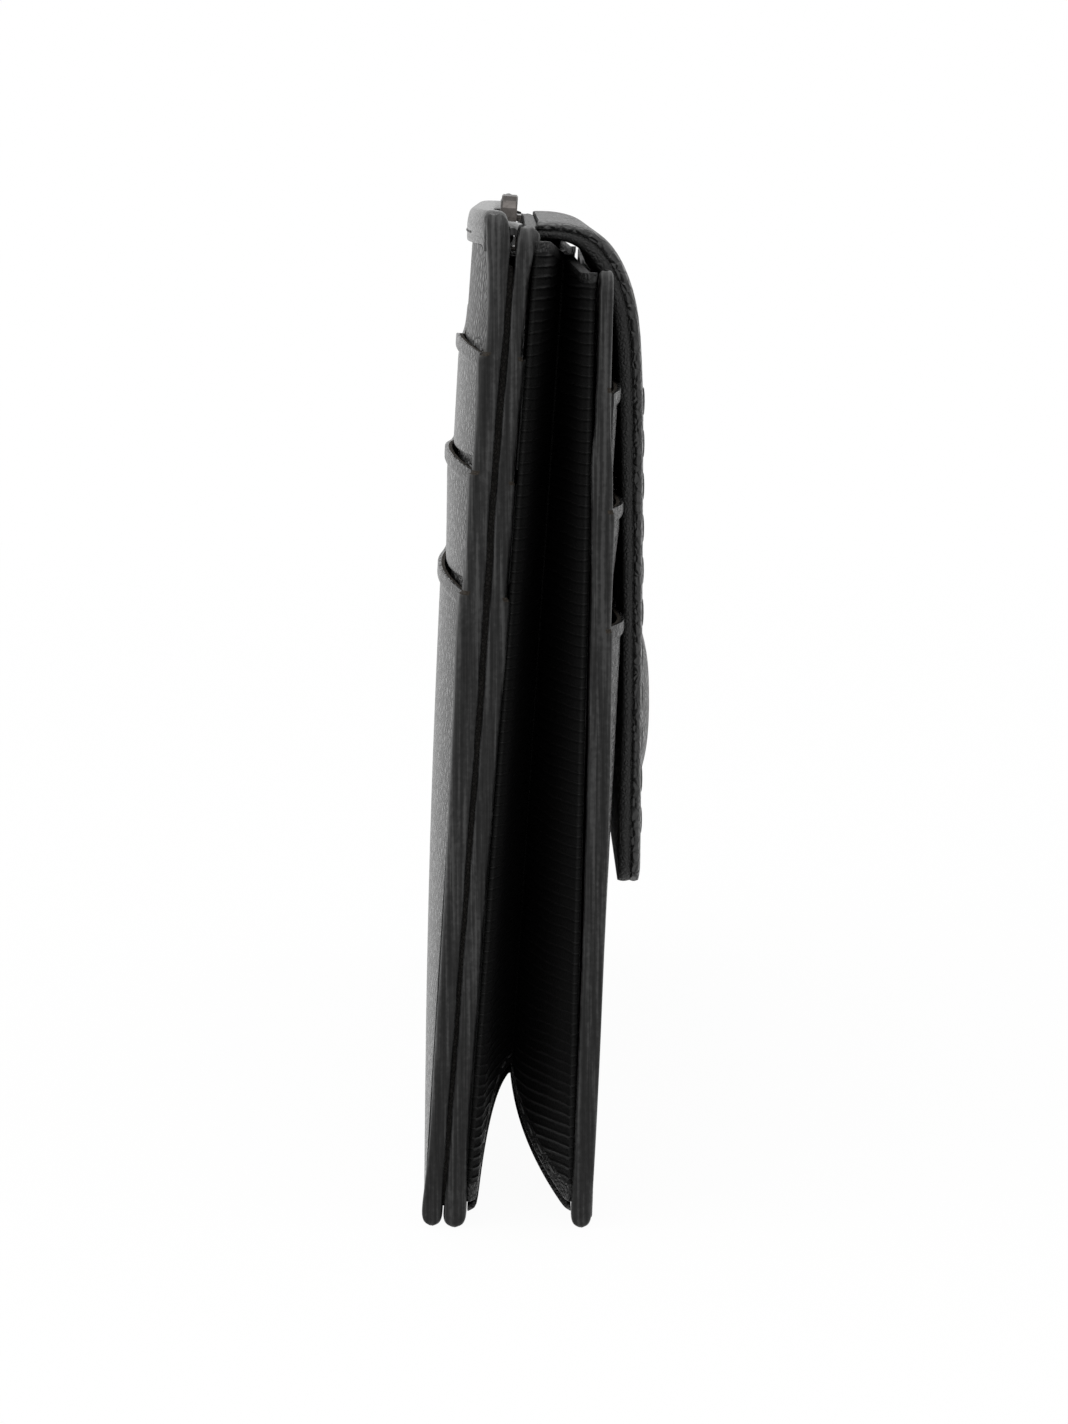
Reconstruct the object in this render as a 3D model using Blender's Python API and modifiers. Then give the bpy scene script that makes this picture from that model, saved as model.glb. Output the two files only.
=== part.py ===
# Flap card holder in leather: two rear walls with a zipped pocket between them,
# a front wall joined to them by folded gussets, card pockets, and a padded flap with a press stud.
# Metres, +Z up, +Y towards the rear, the flap in front at -Y, standing on the feet of its walls.

import math

import bmesh
import bpy
from mathutils import Vector

# Whole holder
holder_width = 0.105
rear_foot_y = 0.0069
front_foot_y = -0.0025
rear_lean = math.radians(4.15)
front_lean = math.radians(1.3)
wall_corner_radius = 0.0024
foot_trim = 0.0004
seam_gap = 0.00015
clear_gap = 0.0003
edge_round_share = 0.3
bow_power = 9
bow_fade_power = 3
soft_edge_angle = math.radians(50)
merge_distance = 0.00001

# Walls, with heights along the wall
rear_height = 0.0811
inner_drop = 0.0006
front_drop = 0.0058
rear_thickness = 0.0010
inner_thickness = 0.00115
front_thickness = 0.0010
groove_width = 0.00052
tongue_share = 0.82
wall_column_shares = (0.0, 0.35, 0.62, tongue_share, 0.93, 1.0)
welt_thickness = 0.0002
welt_inset = 0.0004
welt_foot = 0.0011
welt_top_drop = 0.0045
welt_floor_rise = 0.0025
welt_rows = 4
wall_rows = 6
corner_steps = 3

# Zipped pocket
zip_mouth = 0.0033
zip_forward = 0.00025
rear_bow_share = 0.75
tape_thickness = 0.00022
tape_depth = 0.011
tape_end_margin = 0.0068
tape_gap = 0.00008
chain_height = 0.00105
chain_rise = 0.0011
chain_pitch = 0.0014
chain_notch = 0.0003
notch_width_share = 0.4
chain_end_margin = 0.0095
slider_length = 0.0060
slider_wall = 0.00035
slider_end_margin = 0.0004
slider_clearance = 0.00018
slider_nose_radius = 0.0003
slider_nose_segments = 3
crown_length = 0.0042
crown_rise = 0.0024
crown_width = 0.0013
crown_thickness = 0.0004
crown_steps = 10
pull_length = 0.0098
pull_thickness = 0.0005
pull_rail = 0.0003
pull_window = 0.0036
pull_offset = 0.0008
pull_hole_radius = 0.00045
pull_end_steps = 4
pull_tip_share = 0.85
hole_sides = 12
end_cap_length = 0.0070
end_cap_thickness = 0.0006
end_cap_inset = 0.0022
end_cap_sink = 0.00045
end_cap_arch = 0.0002
end_cap_columns = 4
end_cap_rows = 4
binding_thickness = 0.0003
binding_drop = 0.0018
binding_rise = 0.00035
binding_corner_turn = math.radians(60)
binding_corner_steps = 2
binding_inner_drop = 0.0004

# Card pockets, with their mouths' drops below the rear wall's top
leaf_thickness = 0.0003
leaf_tuck = 0.0020
leaf_lift = 0.0005
inner_leaf_lift = 0.0005
leaf_gape = 0.0002
leaf_lip = 0.0022
leaf_foot = 0.0008
rear_drops = {"upper": 0.0098, "middle": 0.0190, "lower": 0.0286}
inner_drops = {"upper": 0.0101, "middle": 0.0199, "lower": 0.0290}
front_drops = {"upper": 0.0130, "middle": 0.0221, "lower": 0.0315}
mouth_dip = 0.0009
leaf_rows = 4
inner_leaf_margin = 0.0015
slip_drop = 0.0171
slip_foot = 0.0040
slip_margin = 0.0015

# Gussets
gusset_thickness = 0.0005
gusset_depth = 0.012
gusset_edge_inset = 0.0004
gusset_edge_offset = 0.00043
gusset_foot_edge_offset = 0.00077
gusset_leg_inset = 0.0013
gusset_rear_drop = 0.0026
gusset_front_drop = 0.0056
gusset_foot = 0.0014
gusset_ridge = 0.0099
gusset_ridge_share = 0.5426
gusset_rear_offset_top = 0.0012
gusset_rear_offset_foot = 0.00105
gusset_front_offset_top = 0.0011
gusset_front_offset_foot = 0.0008
rear_arch_side_share = 0.45
rear_arch_rise_share = 0.95
front_arch_side_share = 0.62
front_arch_rise_share = 0.55
gusset_fold_radius = 0.0004
gusset_fold_share = 0.11
gusset_edge_share = 0.1
gusset_fold_steps = 4
gusset_leg_segments = 6
turns_across = 2
gusset_rows = 3

# Flap
flap_side_margin = 0.0075
flap_rise = 0.00036
flap_length = 0.05455
snap_reach = 0.002752936476
flap_shoulder_drop = 0.01325
flap_shoulder_depth = 0.0075
flap_curve_power = 2.65
flap_tuck_in = 0.0001
flap_corner_radius = 0.0025
cover_thickness = 0.0007
stiffener_thickness = 0.0005
lining_thickness = 0.0006
layer_gap = 0.0001
stiffener_width_share = 0.93
flap_column_shares = (0.0, 0.06, 0.12, 0.20, 0.45, stiffener_width_share, 1.0)
flap_hinge_inset = 0.00092
flap_hinge_rise = 0.00065
shoulder_segments = 7
bulge_station_shares = (2.5, 1.75, 1.2, 0.78, 0.38, 0.0, -0.38, -0.76)
corner_station_share = 0.2

# Press stud
stud_rise = 0.0088
cover_bulge = 0.0023
lining_bulge = 0.0010
bulge_radius = 0.0090
bulge_power = 4
cap_radius = 0.0050
cap_thickness = 0.0006
socket_radius = 0.0050
socket_thickness = 0.0008
socket_bore = 0.0020
stud_radius = 0.0040
stud_base_thickness = 0.0005
stud_nose_radius = 0.0016
stud_nose_length = 0.0009
round_steps = 32


def leaf_stand(s, mouth, tail, lift):
    # How far a leaf stands off its wall in the middle, with its lip turned out at the mouth.
    rise = max(0.0, min(1.0, (s - tail) / (mouth - leaf_tuck - tail)))
    lip = max(0.0, (s - mouth + leaf_lip) / leaf_lip)
    return lift * rise * rise + leaf_gape * lip * lip


# Places that follow from the sizes above
half_width = holder_width / 2
inner_height = rear_height - inner_drop
front_height = rear_height - front_drop
rear_mouths = {place: rear_height - drop for place, drop in rear_drops.items()}
inner_mouths = {place: rear_height - drop for place, drop in inner_drops.items()}
front_mouths = {place: rear_height - drop for place, drop in front_drops.items()}
slip_mouth = rear_height - slip_drop
gusset_rear_top = rear_height - gusset_rear_drop
gusset_front_top = rear_height - gusset_front_drop
gusset_ridge_y = front_foot_y + (rear_foot_y - front_foot_y) * gusset_ridge_share
total_bow = zip_mouth - groove_width
rear_bow_depth = total_bow * rear_bow_share
inner_bow_depth = total_bow - rear_bow_depth
rear_inner_face = inner_thickness + groove_width
rear_outer_face = rear_inner_face + rear_thickness
zip_centre = inner_thickness - inner_bow_depth + zip_mouth / 2 - zip_forward
chain_low = inner_height - chain_rise - chain_height / 2
slider_width = zip_mouth - 2 * (seam_gap + binding_thickness + slider_clearance)
chain_width = slider_width - 2 * (slider_wall + seam_gap)
flap_half_width = half_width - flap_side_margin
flap_top_z = rear_height * math.cos(rear_lean) + flap_rise
flap_shoulder_z = flap_top_z - flap_shoulder_drop
flap_end_z = flap_top_z - flap_length
flap_root_y = rear_foot_y - inner_height * math.sin(rear_lean) - inner_bow_depth - clear_gap
flap_hinge_y = flap_root_y + flap_hinge_inset
flap_hinge_z = flap_top_z + flap_hinge_rise
stud_z = flap_end_z + stud_rise
stud_seat_z = stud_z / math.cos(front_lean)
stud_stand = leaf_stand(stud_seat_z + stud_radius, front_mouths["lower"], leaf_foot, leaf_lift)
stud_seat_y = -front_thickness - seam_gap - leaf_thickness - stud_stand - seam_gap
stud_face_y = front_foot_y + stud_seat_y * math.cos(front_lean) - stud_seat_z * math.sin(front_lean)
flap_front_y = stud_face_y - snap_reach
flap_crest_y = flap_front_y + flap_shoulder_depth
overrun = 0.004

rear_frame = None
front_frame = None
zip_frame = None
pull_frame = None
flap_frame = None
solids = None
cutters = None


def clear_scene():
    for thing in list(bpy.data.objects):
        bpy.data.objects.remove(thing, do_unlink=True)


def make_material(name, colour, roughness, metallic=0.0):
    material = bpy.data.materials.new(name)
    material.use_nodes = True
    shader = material.node_tree.nodes["Principled BSDF"]
    shader.inputs["Base Color"].default_value = (*colour, 1.0)
    shader.inputs["Roughness"].default_value = roughness
    shader.inputs["Metallic"].default_value = metallic
    material.diffuse_color = (*colour, 1.0)
    return material


def make_frame(name, place, tilt=0.0, parent=None):
    frame = bpy.data.objects.new(name, None)
    frame.location = place
    frame.rotation_euler.x = tilt
    frame.parent = parent
    solids.objects.link(frame)
    return frame


def finish_object(name, mesh, material, parent=None, home=None):
    thing = bpy.data.objects.new(name, mesh)
    (home or solids).objects.link(thing)
    thing.parent = parent
    if material:
        mesh.materials.append(material)
    return thing


def add_bevel(thing, width, segments=2):
    bevel = thing.modifiers.new("soft_edges", "BEVEL")
    bevel.width = width
    bevel.segments = segments
    bevel.limit_method = "ANGLE"
    bevel.angle_limit = soft_edge_angle


def cut(thing, cutter, operation="DIFFERENCE"):
    boolean = thing.modifiers.new(operation.lower(), "BOOLEAN")
    boolean.operation = operation
    boolean.solver = "EXACT"
    boolean.object = cutter


def even_steps(low, high, count):
    return [low + (high - low) * step / count for step in range(count + 1)]


def eased_steps(low, high, count):
    return [low + (high - low) * (1 - math.cos(math.pi * step / count)) / 2 for step in range(count + 1)]


def mirrored(shares):
    return [-share for share in reversed(shares[1:])] + list(shares)


def wall_columns(reach):
    # The wall's own columns as far out as a reach, and the reach itself.
    inside = [share * half_width for share in wall_column_shares if share * half_width < reach]
    return mirrored(inside + [reach])


def make_sheet(
    name, columns, rows, place, thickness, material, parent=None, keep=None, rounded=True, rim_segments=1
):
    # A sheet is a grid whose points go where place() says, thickened to both sides, with soft edges.
    across = len(columns) - 1
    up = len(rows) - 1
    shape = bmesh.new()
    bmesh.ops.create_grid(shape, x_segments=across, y_segments=up, size=0.5)
    if keep:
        dropped = []
        for face in shape.faces:
            middle = face.calc_center_median()
            column = math.floor((middle.x + 0.5) * across)
            row = math.floor((middle.y + 0.5) * up)
            if not keep(columns[column], columns[column + 1], rows[row], rows[row + 1]):
                dropped.append(face)
        bmesh.ops.delete(shape, geom=dropped, context="FACES")
    for vert in shape.verts:
        column = columns[round((vert.co.x + 0.5) * across)]
        row = rows[round((vert.co.y + 0.5) * up)]
        vert.co = place(column, row)
    mesh = bpy.data.meshes.new(name)
    shape.to_mesh(mesh)
    shape.free()
    mesh.shade_smooth()
    thing = finish_object(name, mesh, material, parent)
    solid = thing.modifiers.new("thickness", "SOLIDIFY")
    solid.thickness = thickness
    solid.offset = 0.0
    solid.use_even_offset = True
    if rounded:
        add_bevel(thing, thickness * edge_round_share, rim_segments)
    return thing


def make_box(name, size, centre, material, parent=None, round_by=0.0, home=None):
    shape = bmesh.new()
    bmesh.ops.create_cube(shape, size=1.0)
    bmesh.ops.scale(shape, vec=size, verts=shape.verts)
    mesh = bpy.data.meshes.new(name)
    shape.to_mesh(mesh)
    shape.free()
    thing = finish_object(name, mesh, material, parent, home)
    thing.location = centre
    if round_by:
        add_bevel(thing, round_by)
    return thing


def make_cutter(name, size, centre, parent=None):
    cutter = make_box(name, size, centre, None, parent, home=cutters)
    cutter.hide_render = True
    cutter.display_type = "WIRE"
    return cutter


def make_round_cutter(name, radius, height, centre, parent):
    shape = bmesh.new()
    bmesh.ops.create_cone(
        shape, cap_ends=True, segments=hole_sides, radius1=radius, radius2=radius, depth=height
    )
    mesh = bpy.data.meshes.new(name)
    shape.to_mesh(mesh)
    shape.free()
    cutter = finish_object(name, mesh, None, parent, cutters)
    cutter.location = centre
    cutter.hide_render = True
    cutter.display_type = "WIRE"
    return cutter


def round_uprights(thing, radius, segments):
    # Rounds the four upright edges of a box.
    shape = bmesh.new()
    shape.from_mesh(thing.data)
    uprights = [edge for edge in shape.edges if abs((edge.verts[0].co - edge.verts[1].co).z) > radius]
    bmesh.ops.bevel(
        shape, geom=uprights, offset=radius, segments=segments, profile=0.5, affect="EDGES", material=-1
    )
    shape.to_mesh(thing.data)
    shape.free()


def turned(name, profile, centre, material, parent):
    # A turned piece: its profile of (radius, distance to the rear) runs once round the Y axis.
    shape = bmesh.new()
    points = [shape.verts.new((radius, along, 0.0)) for radius, along in profile]
    for first, second in zip(points, points[1:]):
        shape.edges.new((first, second))
    mesh = bpy.data.meshes.new(name)
    shape.to_mesh(mesh)
    shape.free()
    thing = finish_object(name, mesh, material, parent)
    thing.location = centre
    screw = thing.modifiers.new("turn", "SCREW")
    screw.axis = "Y"
    screw.steps = round_steps
    screw.render_steps = round_steps
    screw.use_merge_vertices = True
    screw.merge_threshold = merge_distance
    screw.use_smooth_shade = True
    return thing


def spread(x):
    # Across the width a wall bows out quickly near its sewn sides and is flat between them.
    # It is straight from column to column, so sheets with other columns lie close to it.
    share = min(1.0, abs(x / half_width))
    for low, high in zip(wall_column_shares, wall_column_shares[1:]):
        if share <= high:
            mix = (share - low) / (high - low)
            return 1 - low ** bow_power * (1 - mix) - high ** bow_power * mix
    return 0.0


def swell(s):
    # Up the wall the bow grows from nothing at the foot.
    return 1 - (1 - max(0.0, min(1.0, s / rear_height))) ** bow_fade_power


def rear_bow(x, s):
    return rear_bow_depth * spread(x) * swell(s)


def inner_bow(x, s):
    return -inner_bow_depth * spread(x) * swell(s)


def rounded_half_width(s, top, radius, widest):
    # The half width of a panel whose two top corners are rounded.
    into_corner = s - (top - radius)
    if into_corner <= 0:
        return widest
    into_corner = min(into_corner, radius)
    return widest - radius + math.sqrt(radius * radius - into_corner * into_corner)


def wall_panel(name, height, offset, thickness, material, parent):
    rows = eased_steps(-foot_trim, height - wall_corner_radius, wall_rows)
    for turn in even_steps(0.0, math.pi / 2, corner_steps)[1:]:
        rows.append(height - wall_corner_radius * (1 - math.sin(turn)))
    straight = tongue_share * half_width

    def place(x, s):
        # Only the outer columns draw in at the rounded corners.
        if abs(x) > straight:
            widest = rounded_half_width(s, height, wall_corner_radius, half_width)
            drawn = straight + (abs(x) - straight) * (widest - straight) / (half_width - straight)
            x = math.copysign(drawn, x)
        return Vector((x, offset(x, s), s))

    columns = wall_columns(half_width)
    panel = make_sheet(name, columns, rows, place, thickness, material, parent, rim_segments=2)
    cut(panel, bpy.data.objects["floor_cutter"])
    return panel


def pocket_leaf(name, mouth, tail, lift, face, material, parent):
    # A card pocket's leaf rests on the wall at its sewn sides and foot and stands off it at its mouth.
    # Below its shoulders it is a narrower tongue, tucked behind the next leaf.
    surface, side, reach = face
    columns = wall_columns(reach)
    tongue = tongue_share * half_width
    tucked = tail > leaf_foot
    shoulder = tail + leaf_tuck + clear_gap if tucked else tail
    rows = even_steps(shoulder, mouth - leaf_lip, leaf_rows) + [mouth - leaf_lip / 2, mouth]
    if tucked:
        rows = [tail] + rows

    def keep(left, right, low, high):
        return low >= shoulder or (left >= -tongue and right <= tongue)

    def place(x, s):
        middle = seam_gap + leaf_thickness / 2 + leaf_stand(s, mouth, tail, lift) * spread(x)
        dip = mouth_dip * (1 - spread(x)) * max(0.0, (s - shoulder) / (mouth - shoulder))
        return Vector((x, surface(x, s) + side * middle, s - dip))

    return make_sheet(name, columns, rows, place, leaf_thickness, material, parent, keep)


def pocket_stack(prefix, mouths, backing, material, parent):
    # The backing gives the leaves' face, its side, their reach and how far the lower ones stand off.
    *face, lower_lift = backing
    names = list(mouths)
    for index, place_name in enumerate(names):
        last = index == len(names) - 1
        tail = leaf_foot if last else mouths[names[index + 1]] - leaf_tuck
        lift = lower_lift if index else leaf_gape
        pocket_leaf(f"{prefix}_{place_name}", mouths[place_name], tail, lift, face, material, parent)


def rear_surface(x, s):
    return rear_outer_face + rear_bow(x, s)


def inner_surface(x, s):
    return inner_bow(x, s)


def front_surface(x, s):
    return -front_thickness


def make_rear_walls(leather, pocket_leather):
    def inner_middle(x, s):
        return inner_thickness / 2 + inner_bow(x, s)

    def rear_middle(x, s):
        return rear_inner_face + rear_thickness / 2 + rear_bow(x, s)

    wall_panel("inner_panel", inner_height, inner_middle, inner_thickness, leather, rear_frame)
    wall_panel("rear_panel", rear_height, rear_middle, rear_thickness, leather, rear_frame)
    reach = half_width - inner_leaf_margin
    on_rear = (rear_surface, 1, half_width, leaf_lift)
    on_inner = (inner_surface, -1, reach, inner_leaf_lift)
    pocket_stack("rear_slot", rear_mouths, on_rear, pocket_leather, rear_frame)
    pocket_stack("inner_slot", inner_mouths, on_inner, pocket_leather, rear_frame)


def make_rear_binding(leather):
    # The hem is folded over the rear wall's top edge and follows it round both top corners.
    straight = half_width - wall_corner_radius
    corner_top = rear_height - wall_corner_radius
    half = [(x, rear_height, 0.0) for x in wall_columns(straight) if x >= 0]
    for turn in even_steps(0.0, binding_corner_turn, binding_corner_steps)[1:]:
        x = straight + wall_corner_radius * math.sin(turn)
        half.append((x, corner_top + wall_corner_radius * math.cos(turn), turn))
    columns = [(-x, s, -turn) for x, s, turn in reversed(half[1:])] + half
    leg = rear_thickness / 2 + seam_gap + binding_thickness / 2
    flat = leg - binding_rise
    path = [
        (-leg, -binding_inner_drop),
        (-leg, 0.0),
        (-flat, binding_rise),
        (flat, binding_rise),
        (leg, 0.0),
        (leg, -binding_drop / 2),
        (leg, -binding_drop),
    ]
    middle = rear_inner_face + rear_thickness / 2

    def place(column, row):
        x, s, turn = column
        across, out = path[row]
        x += out * math.sin(turn)
        s += out * math.cos(turn)
        return Vector((x, middle + rear_bow(x, s) + across, s))

    rows = list(range(len(path)))
    make_sheet("rear_binding", columns, rows, place, binding_thickness, leather, rear_frame)


def make_pocket_welt(lining_leather):
    # A thin strip between the two rear walls, along both sides and the foot, closes the zipped pocket.
    columns = wall_columns(half_width - welt_inset)
    strip = columns[-2]
    rows = [welt_foot] + even_steps(welt_floor_rise, inner_height - welt_top_drop, welt_rows)

    def keep(left, right, low, high):
        return left >= strip or right <= -strip or low <= welt_foot

    def place(x, s):
        middle = (inner_thickness + inner_bow(x, s) + rear_inner_face + rear_bow(x, s)) / 2
        return Vector((x, middle, s))

    make_sheet(
        "pocket_welt", columns, rows, place, welt_thickness, lining_leather, rear_frame, keep, rounded=False
    )


def make_zip_tapes(cloth):
    # Each tape hangs against its wall, turns in under the slider and rises to the chain.
    columns = wall_columns(half_width - tape_end_margin)
    run = chain_low - seam_gap - slider_wall - clear_gap - tape_thickness / 2
    end = chain_low - seam_gap

    def tape(name, side):
        def wall_face(x, s):
            face = inner_thickness + inner_bow(x, s) if side < 0 else rear_inner_face + rear_bow(x, s)
            return face - side * (seam_gap + tape_thickness / 2)

        def path(x):
            inside = zip_centre + side * (tape_thickness + tape_gap) / 2
            return [
                (wall_face(x, run - tape_depth), run - tape_depth),
                (wall_face(x, run), run - tape_thickness),
                (wall_face(x, run) - side * tape_thickness, run),
                (inside + side * tape_thickness, run),
                (inside, run + tape_thickness),
                (inside, end),
            ]

        def place(x, row):
            across, s = path(x)[row]
            return Vector((x, across, s))

        rows = list(range(len(path(0.0))))
        make_sheet(name, columns, rows, place, tape_thickness, cloth, rear_frame)

    tape("zip_tape_front", -1)
    tape("zip_tape_rear", 1)


def make_zip_chain(coil):
    # The closed coil: a bar whose top edge has a V notch between one tooth and the next.
    reach = half_width - chain_end_margin
    teeth = round(2 * reach / chain_pitch)
    pitch = 2 * reach / teeth
    half_notch = pitch * notch_width_share / 2
    columns = [(-reach, 0.0)]
    for tooth in range(1, teeth):
        start = -reach + pitch * tooth
        columns += [(start - half_notch, 0.0), (start, chain_notch), (start + half_notch, 0.0)]
    columns.append((reach, 0.0))

    def place(column, height):
        x, notch = column
        top = chain_low + chain_height - notch
        return Vector((x, zip_centre, top if height else chain_low))

    make_sheet("zip_chain", columns, [0, 1], place, chain_width, coil, rear_frame, rounded=False)


def make_zip_slider(metal):
    # A C-shaped runner round the chain, with a crown on top for the pull.
    low = chain_low - seam_gap - slider_wall
    high = chain_low + chain_height + seam_gap + slider_wall
    body_height = high - low
    body_middle = (high + low) / 2 - chain_low
    slider = make_box(
        "zip_slider",
        (slider_length, slider_width, body_height),
        (0.0, 0.0, body_middle),
        metal,
        zip_frame,
        round_by=slider_wall * edge_round_share,
    )
    round_uprights(slider, slider_nose_radius, slider_nose_segments)
    channel_size = (slider_length + overrun, chain_width + 2 * seam_gap, chain_height + 2 * seam_gap)
    channel = make_cutter("channel_cutter", channel_size, (0.0, 0.0, chain_height / 2), zip_frame)
    slot_width = chain_width - 2 * seam_gap
    slot = make_cutter(
        "slot_cutter",
        (slider_length + overrun, slot_width, body_height),
        (0.0, 0.0, body_middle - slider_wall - seam_gap),
        zip_frame,
    )
    cut(slider, channel)
    cut(slider, slot)
    crown_foot = high - chain_low - slider_wall / 2
    columns = [-crown_width / 2, crown_width / 2]
    rows = even_steps(0.0, math.pi, crown_steps)

    def place(y, turn):
        x = -crown_length / 2 * math.cos(turn)
        z = crown_foot + (crown_rise + slider_wall / 2 - crown_thickness / 2) * math.sin(turn)
        return Vector((x, y, z))

    crown = make_sheet("crown_cutter", columns, rows, place, crown_thickness, None, zip_frame)
    solids.objects.unlink(crown)
    cutters.objects.link(crown)
    crown.hide_render = True
    crown.display_type = "WIRE"
    cut(slider, crown, "UNION")


def make_zip_pull(metal):
    # A flat tab with a rounded, pierced end. Its window straddles the crown, over its root bar.
    half = slider_width / 2
    rounding = pull_length - pull_rail - half
    stations = [(-pull_rail, half), (rounding, half)]
    for turn in even_steps(0.0, math.pi / 2 * pull_tip_share, pull_end_steps)[1:]:
        stations.append((rounding + half * math.sin(turn), half * math.cos(turn)))

    def place(share, station):
        x, reach = station
        return Vector((x, share * reach, 0.0))

    pull = make_sheet(
        "zip_pull", [-1.0, 1.0], stations, place, pull_thickness, metal, pull_frame, rounded=False
    )
    depth = pull_thickness + overrun
    window_size = (pull_window, slider_width - 2 * pull_rail, depth)
    window_middle = pull_rail + pull_window / 2
    window = make_cutter("window_cutter", window_size, (window_middle, 0.0, 0.0), pull_frame)
    hole = make_round_cutter("hole_cutter", pull_hole_radius, depth, (rounding, 0.0, 0.0), pull_frame)
    cut(pull, window)
    cut(pull, hole)


def make_zip_ends(leather):
    # A leather tab between the tops of the two rear walls closes each end of the zip.
    start = half_width - end_cap_length
    columns = even_steps(start, half_width - end_cap_inset, end_cap_columns)
    corner_start = half_width - wall_corner_radius

    def tab(name, side):
        order = columns if side > 0 else columns[::-1]

        def place(x, share):
            into_corner = max(0.0, x - corner_start)
            fallen = wall_corner_radius - math.sqrt(wall_corner_radius ** 2 - into_corner ** 2)
            s = inner_height - end_cap_sink - fallen + end_cap_arch * (1 - (2 * share - 1) ** 2)
            front = inner_thickness + inner_bow(x, s) + seam_gap
            rear = rear_inner_face + rear_bow(x, s) - 2 * seam_gap - binding_thickness
            return Vector((side * x, front + (rear - front) * share, s))

        shares = even_steps(0.0, 1.0, end_cap_rows)
        make_sheet(name, order, shares, place, end_cap_thickness, leather, rear_frame)

    tab("zip_end_near", -1)
    tab("zip_end_far", 1)


def rear_line(z, offset):
    # Where the inner panel's inside face stands, at a height, moved in by an offset.
    return rear_foot_y - z * math.tan(rear_lean) - offset


def front_line(z, offset):
    return front_foot_y - z * math.tan(front_lean) + offset


def blend_points(first, control, last, share):
    rest = 1 - share
    return first * rest * rest + control * 2 * rest * share + last * share * share


def fold_shape(turn):
    # The gusset's V seen from above, with a round fold between its two straight legs. It gives the depth
    # in from the side edge, how far the leg has opened, and the place across the fold's own roundness.
    apart = turn - 1
    leg_depth = gusset_depth - gusset_fold_radius
    if abs(apart) <= gusset_fold_share:
        across = apart / gusset_fold_share
        return leg_depth + gusset_fold_radius * math.sqrt(1 - across * across), 0.0, across
    opened = min(1.0, (abs(apart) - gusset_fold_share) / (1 - gusset_fold_share))
    depth = leg_depth + (gusset_leg_inset - leg_depth) * opened
    if abs(apart) > 1:
        depth = gusset_edge_inset
    return depth, opened, math.copysign(1.0, apart)


def mitre_point(turn):
    # The mitred seam of side and bottom gusset, from the rear foot over the ridge to the front foot.
    # It gives the depth in from the side edge, and the place in Y and Z.
    rear_offset, front_offset = gusset_rear_offset_foot, gusset_front_offset_foot
    if abs(turn - 1) > 1:
        rear_offset, front_offset = gusset_foot_edge_offset, gusset_edge_offset
    rear_foot = Vector((rear_line(gusset_foot, rear_offset), gusset_foot))
    front_foot = Vector((front_line(gusset_foot, front_offset), gusset_foot))
    ridge = Vector((gusset_ridge_y, gusset_ridge))
    if turn <= 1:
        foot, side_share, rise_share = rear_foot, rear_arch_side_share, rear_arch_rise_share
        share = max(0.0, turn)
    else:
        foot, side_share, rise_share = front_foot, front_arch_side_share, front_arch_rise_share
        share = max(0.0, turns_across - turn)
    control = Vector(
        (foot.x + (ridge.x - foot.x) * side_share, foot.y + (ridge.y - foot.y) * rise_share)
    )
    point = blend_points(foot, control, ridge, share)
    depth, *_ = fold_shape(turn)
    return depth, point.x, point.y


def top_point(turn):
    # The side gusset's top edge, folded in like a V from the rear wall down to the front one.
    # Its two outermost edges lie against the walls, where they are sewn.
    rear_y = rear_line(gusset_rear_top, gusset_rear_offset_top)
    front_y = front_line(gusset_front_top, gusset_front_offset_top)
    depth, opened, side = fold_shape(turn)
    along = max(0.0, min(turns_across, turn))
    z = gusset_rear_top + (gusset_front_top - gusset_rear_top) * along / turns_across
    if turn < 0:
        return depth, rear_line(z, gusset_edge_offset), z
    if turn > turns_across:
        return depth, front_line(z, gusset_edge_offset), z
    reach = gusset_fold_radius + ((rear_y - front_y) / 2 - gusset_fold_radius) * opened
    return depth, (rear_y + front_y) / 2 - side * reach, z


def make_gussets(cloth, leather):
    turns = [-gusset_edge_share] + even_steps(0.0, 1 - gusset_fold_share, gusset_leg_segments)
    for angle in even_steps(0.0, math.pi, gusset_fold_steps)[1:]:
        turns.append(1 - gusset_fold_share * math.cos(angle))
    turns += even_steps(1 + gusset_fold_share, turns_across, gusset_leg_segments)[1:]
    turns.append(turns_across + gusset_edge_share)

    def side_gusset(name, side):
        # Both ends keep the same winding, so one is the other's mirror image.
        order = turns if side > 0 else turns[::-1]

        def place(turn, share):
            low_depth, low_y, low_z = mitre_point(turn)
            high_depth, high_y, high_z = top_point(turn)
            low_z += gusset_thickness + clear_gap
            x = half_width - (low_depth + (high_depth - low_depth) * share)
            return Vector((side * x, low_y + (high_y - low_y) * share, low_z + (high_z - low_z) * share))

        make_sheet(name, order, even_steps(0.0, 1.0, gusset_rows), place, gusset_thickness, cloth)

    side_gusset("gusset_near", -1)
    side_gusset("gusset_far", 1)

    def place_bottom(share, turn):
        depth, y, z = mitre_point(turn)
        x = half_width - depth - gusset_thickness - clear_gap
        return Vector((share * x, y, z))

    columns = even_steps(-1.0, 1.0, 2)
    make_sheet("gusset_bottom", columns, turns, place_bottom, gusset_thickness, leather)


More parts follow.
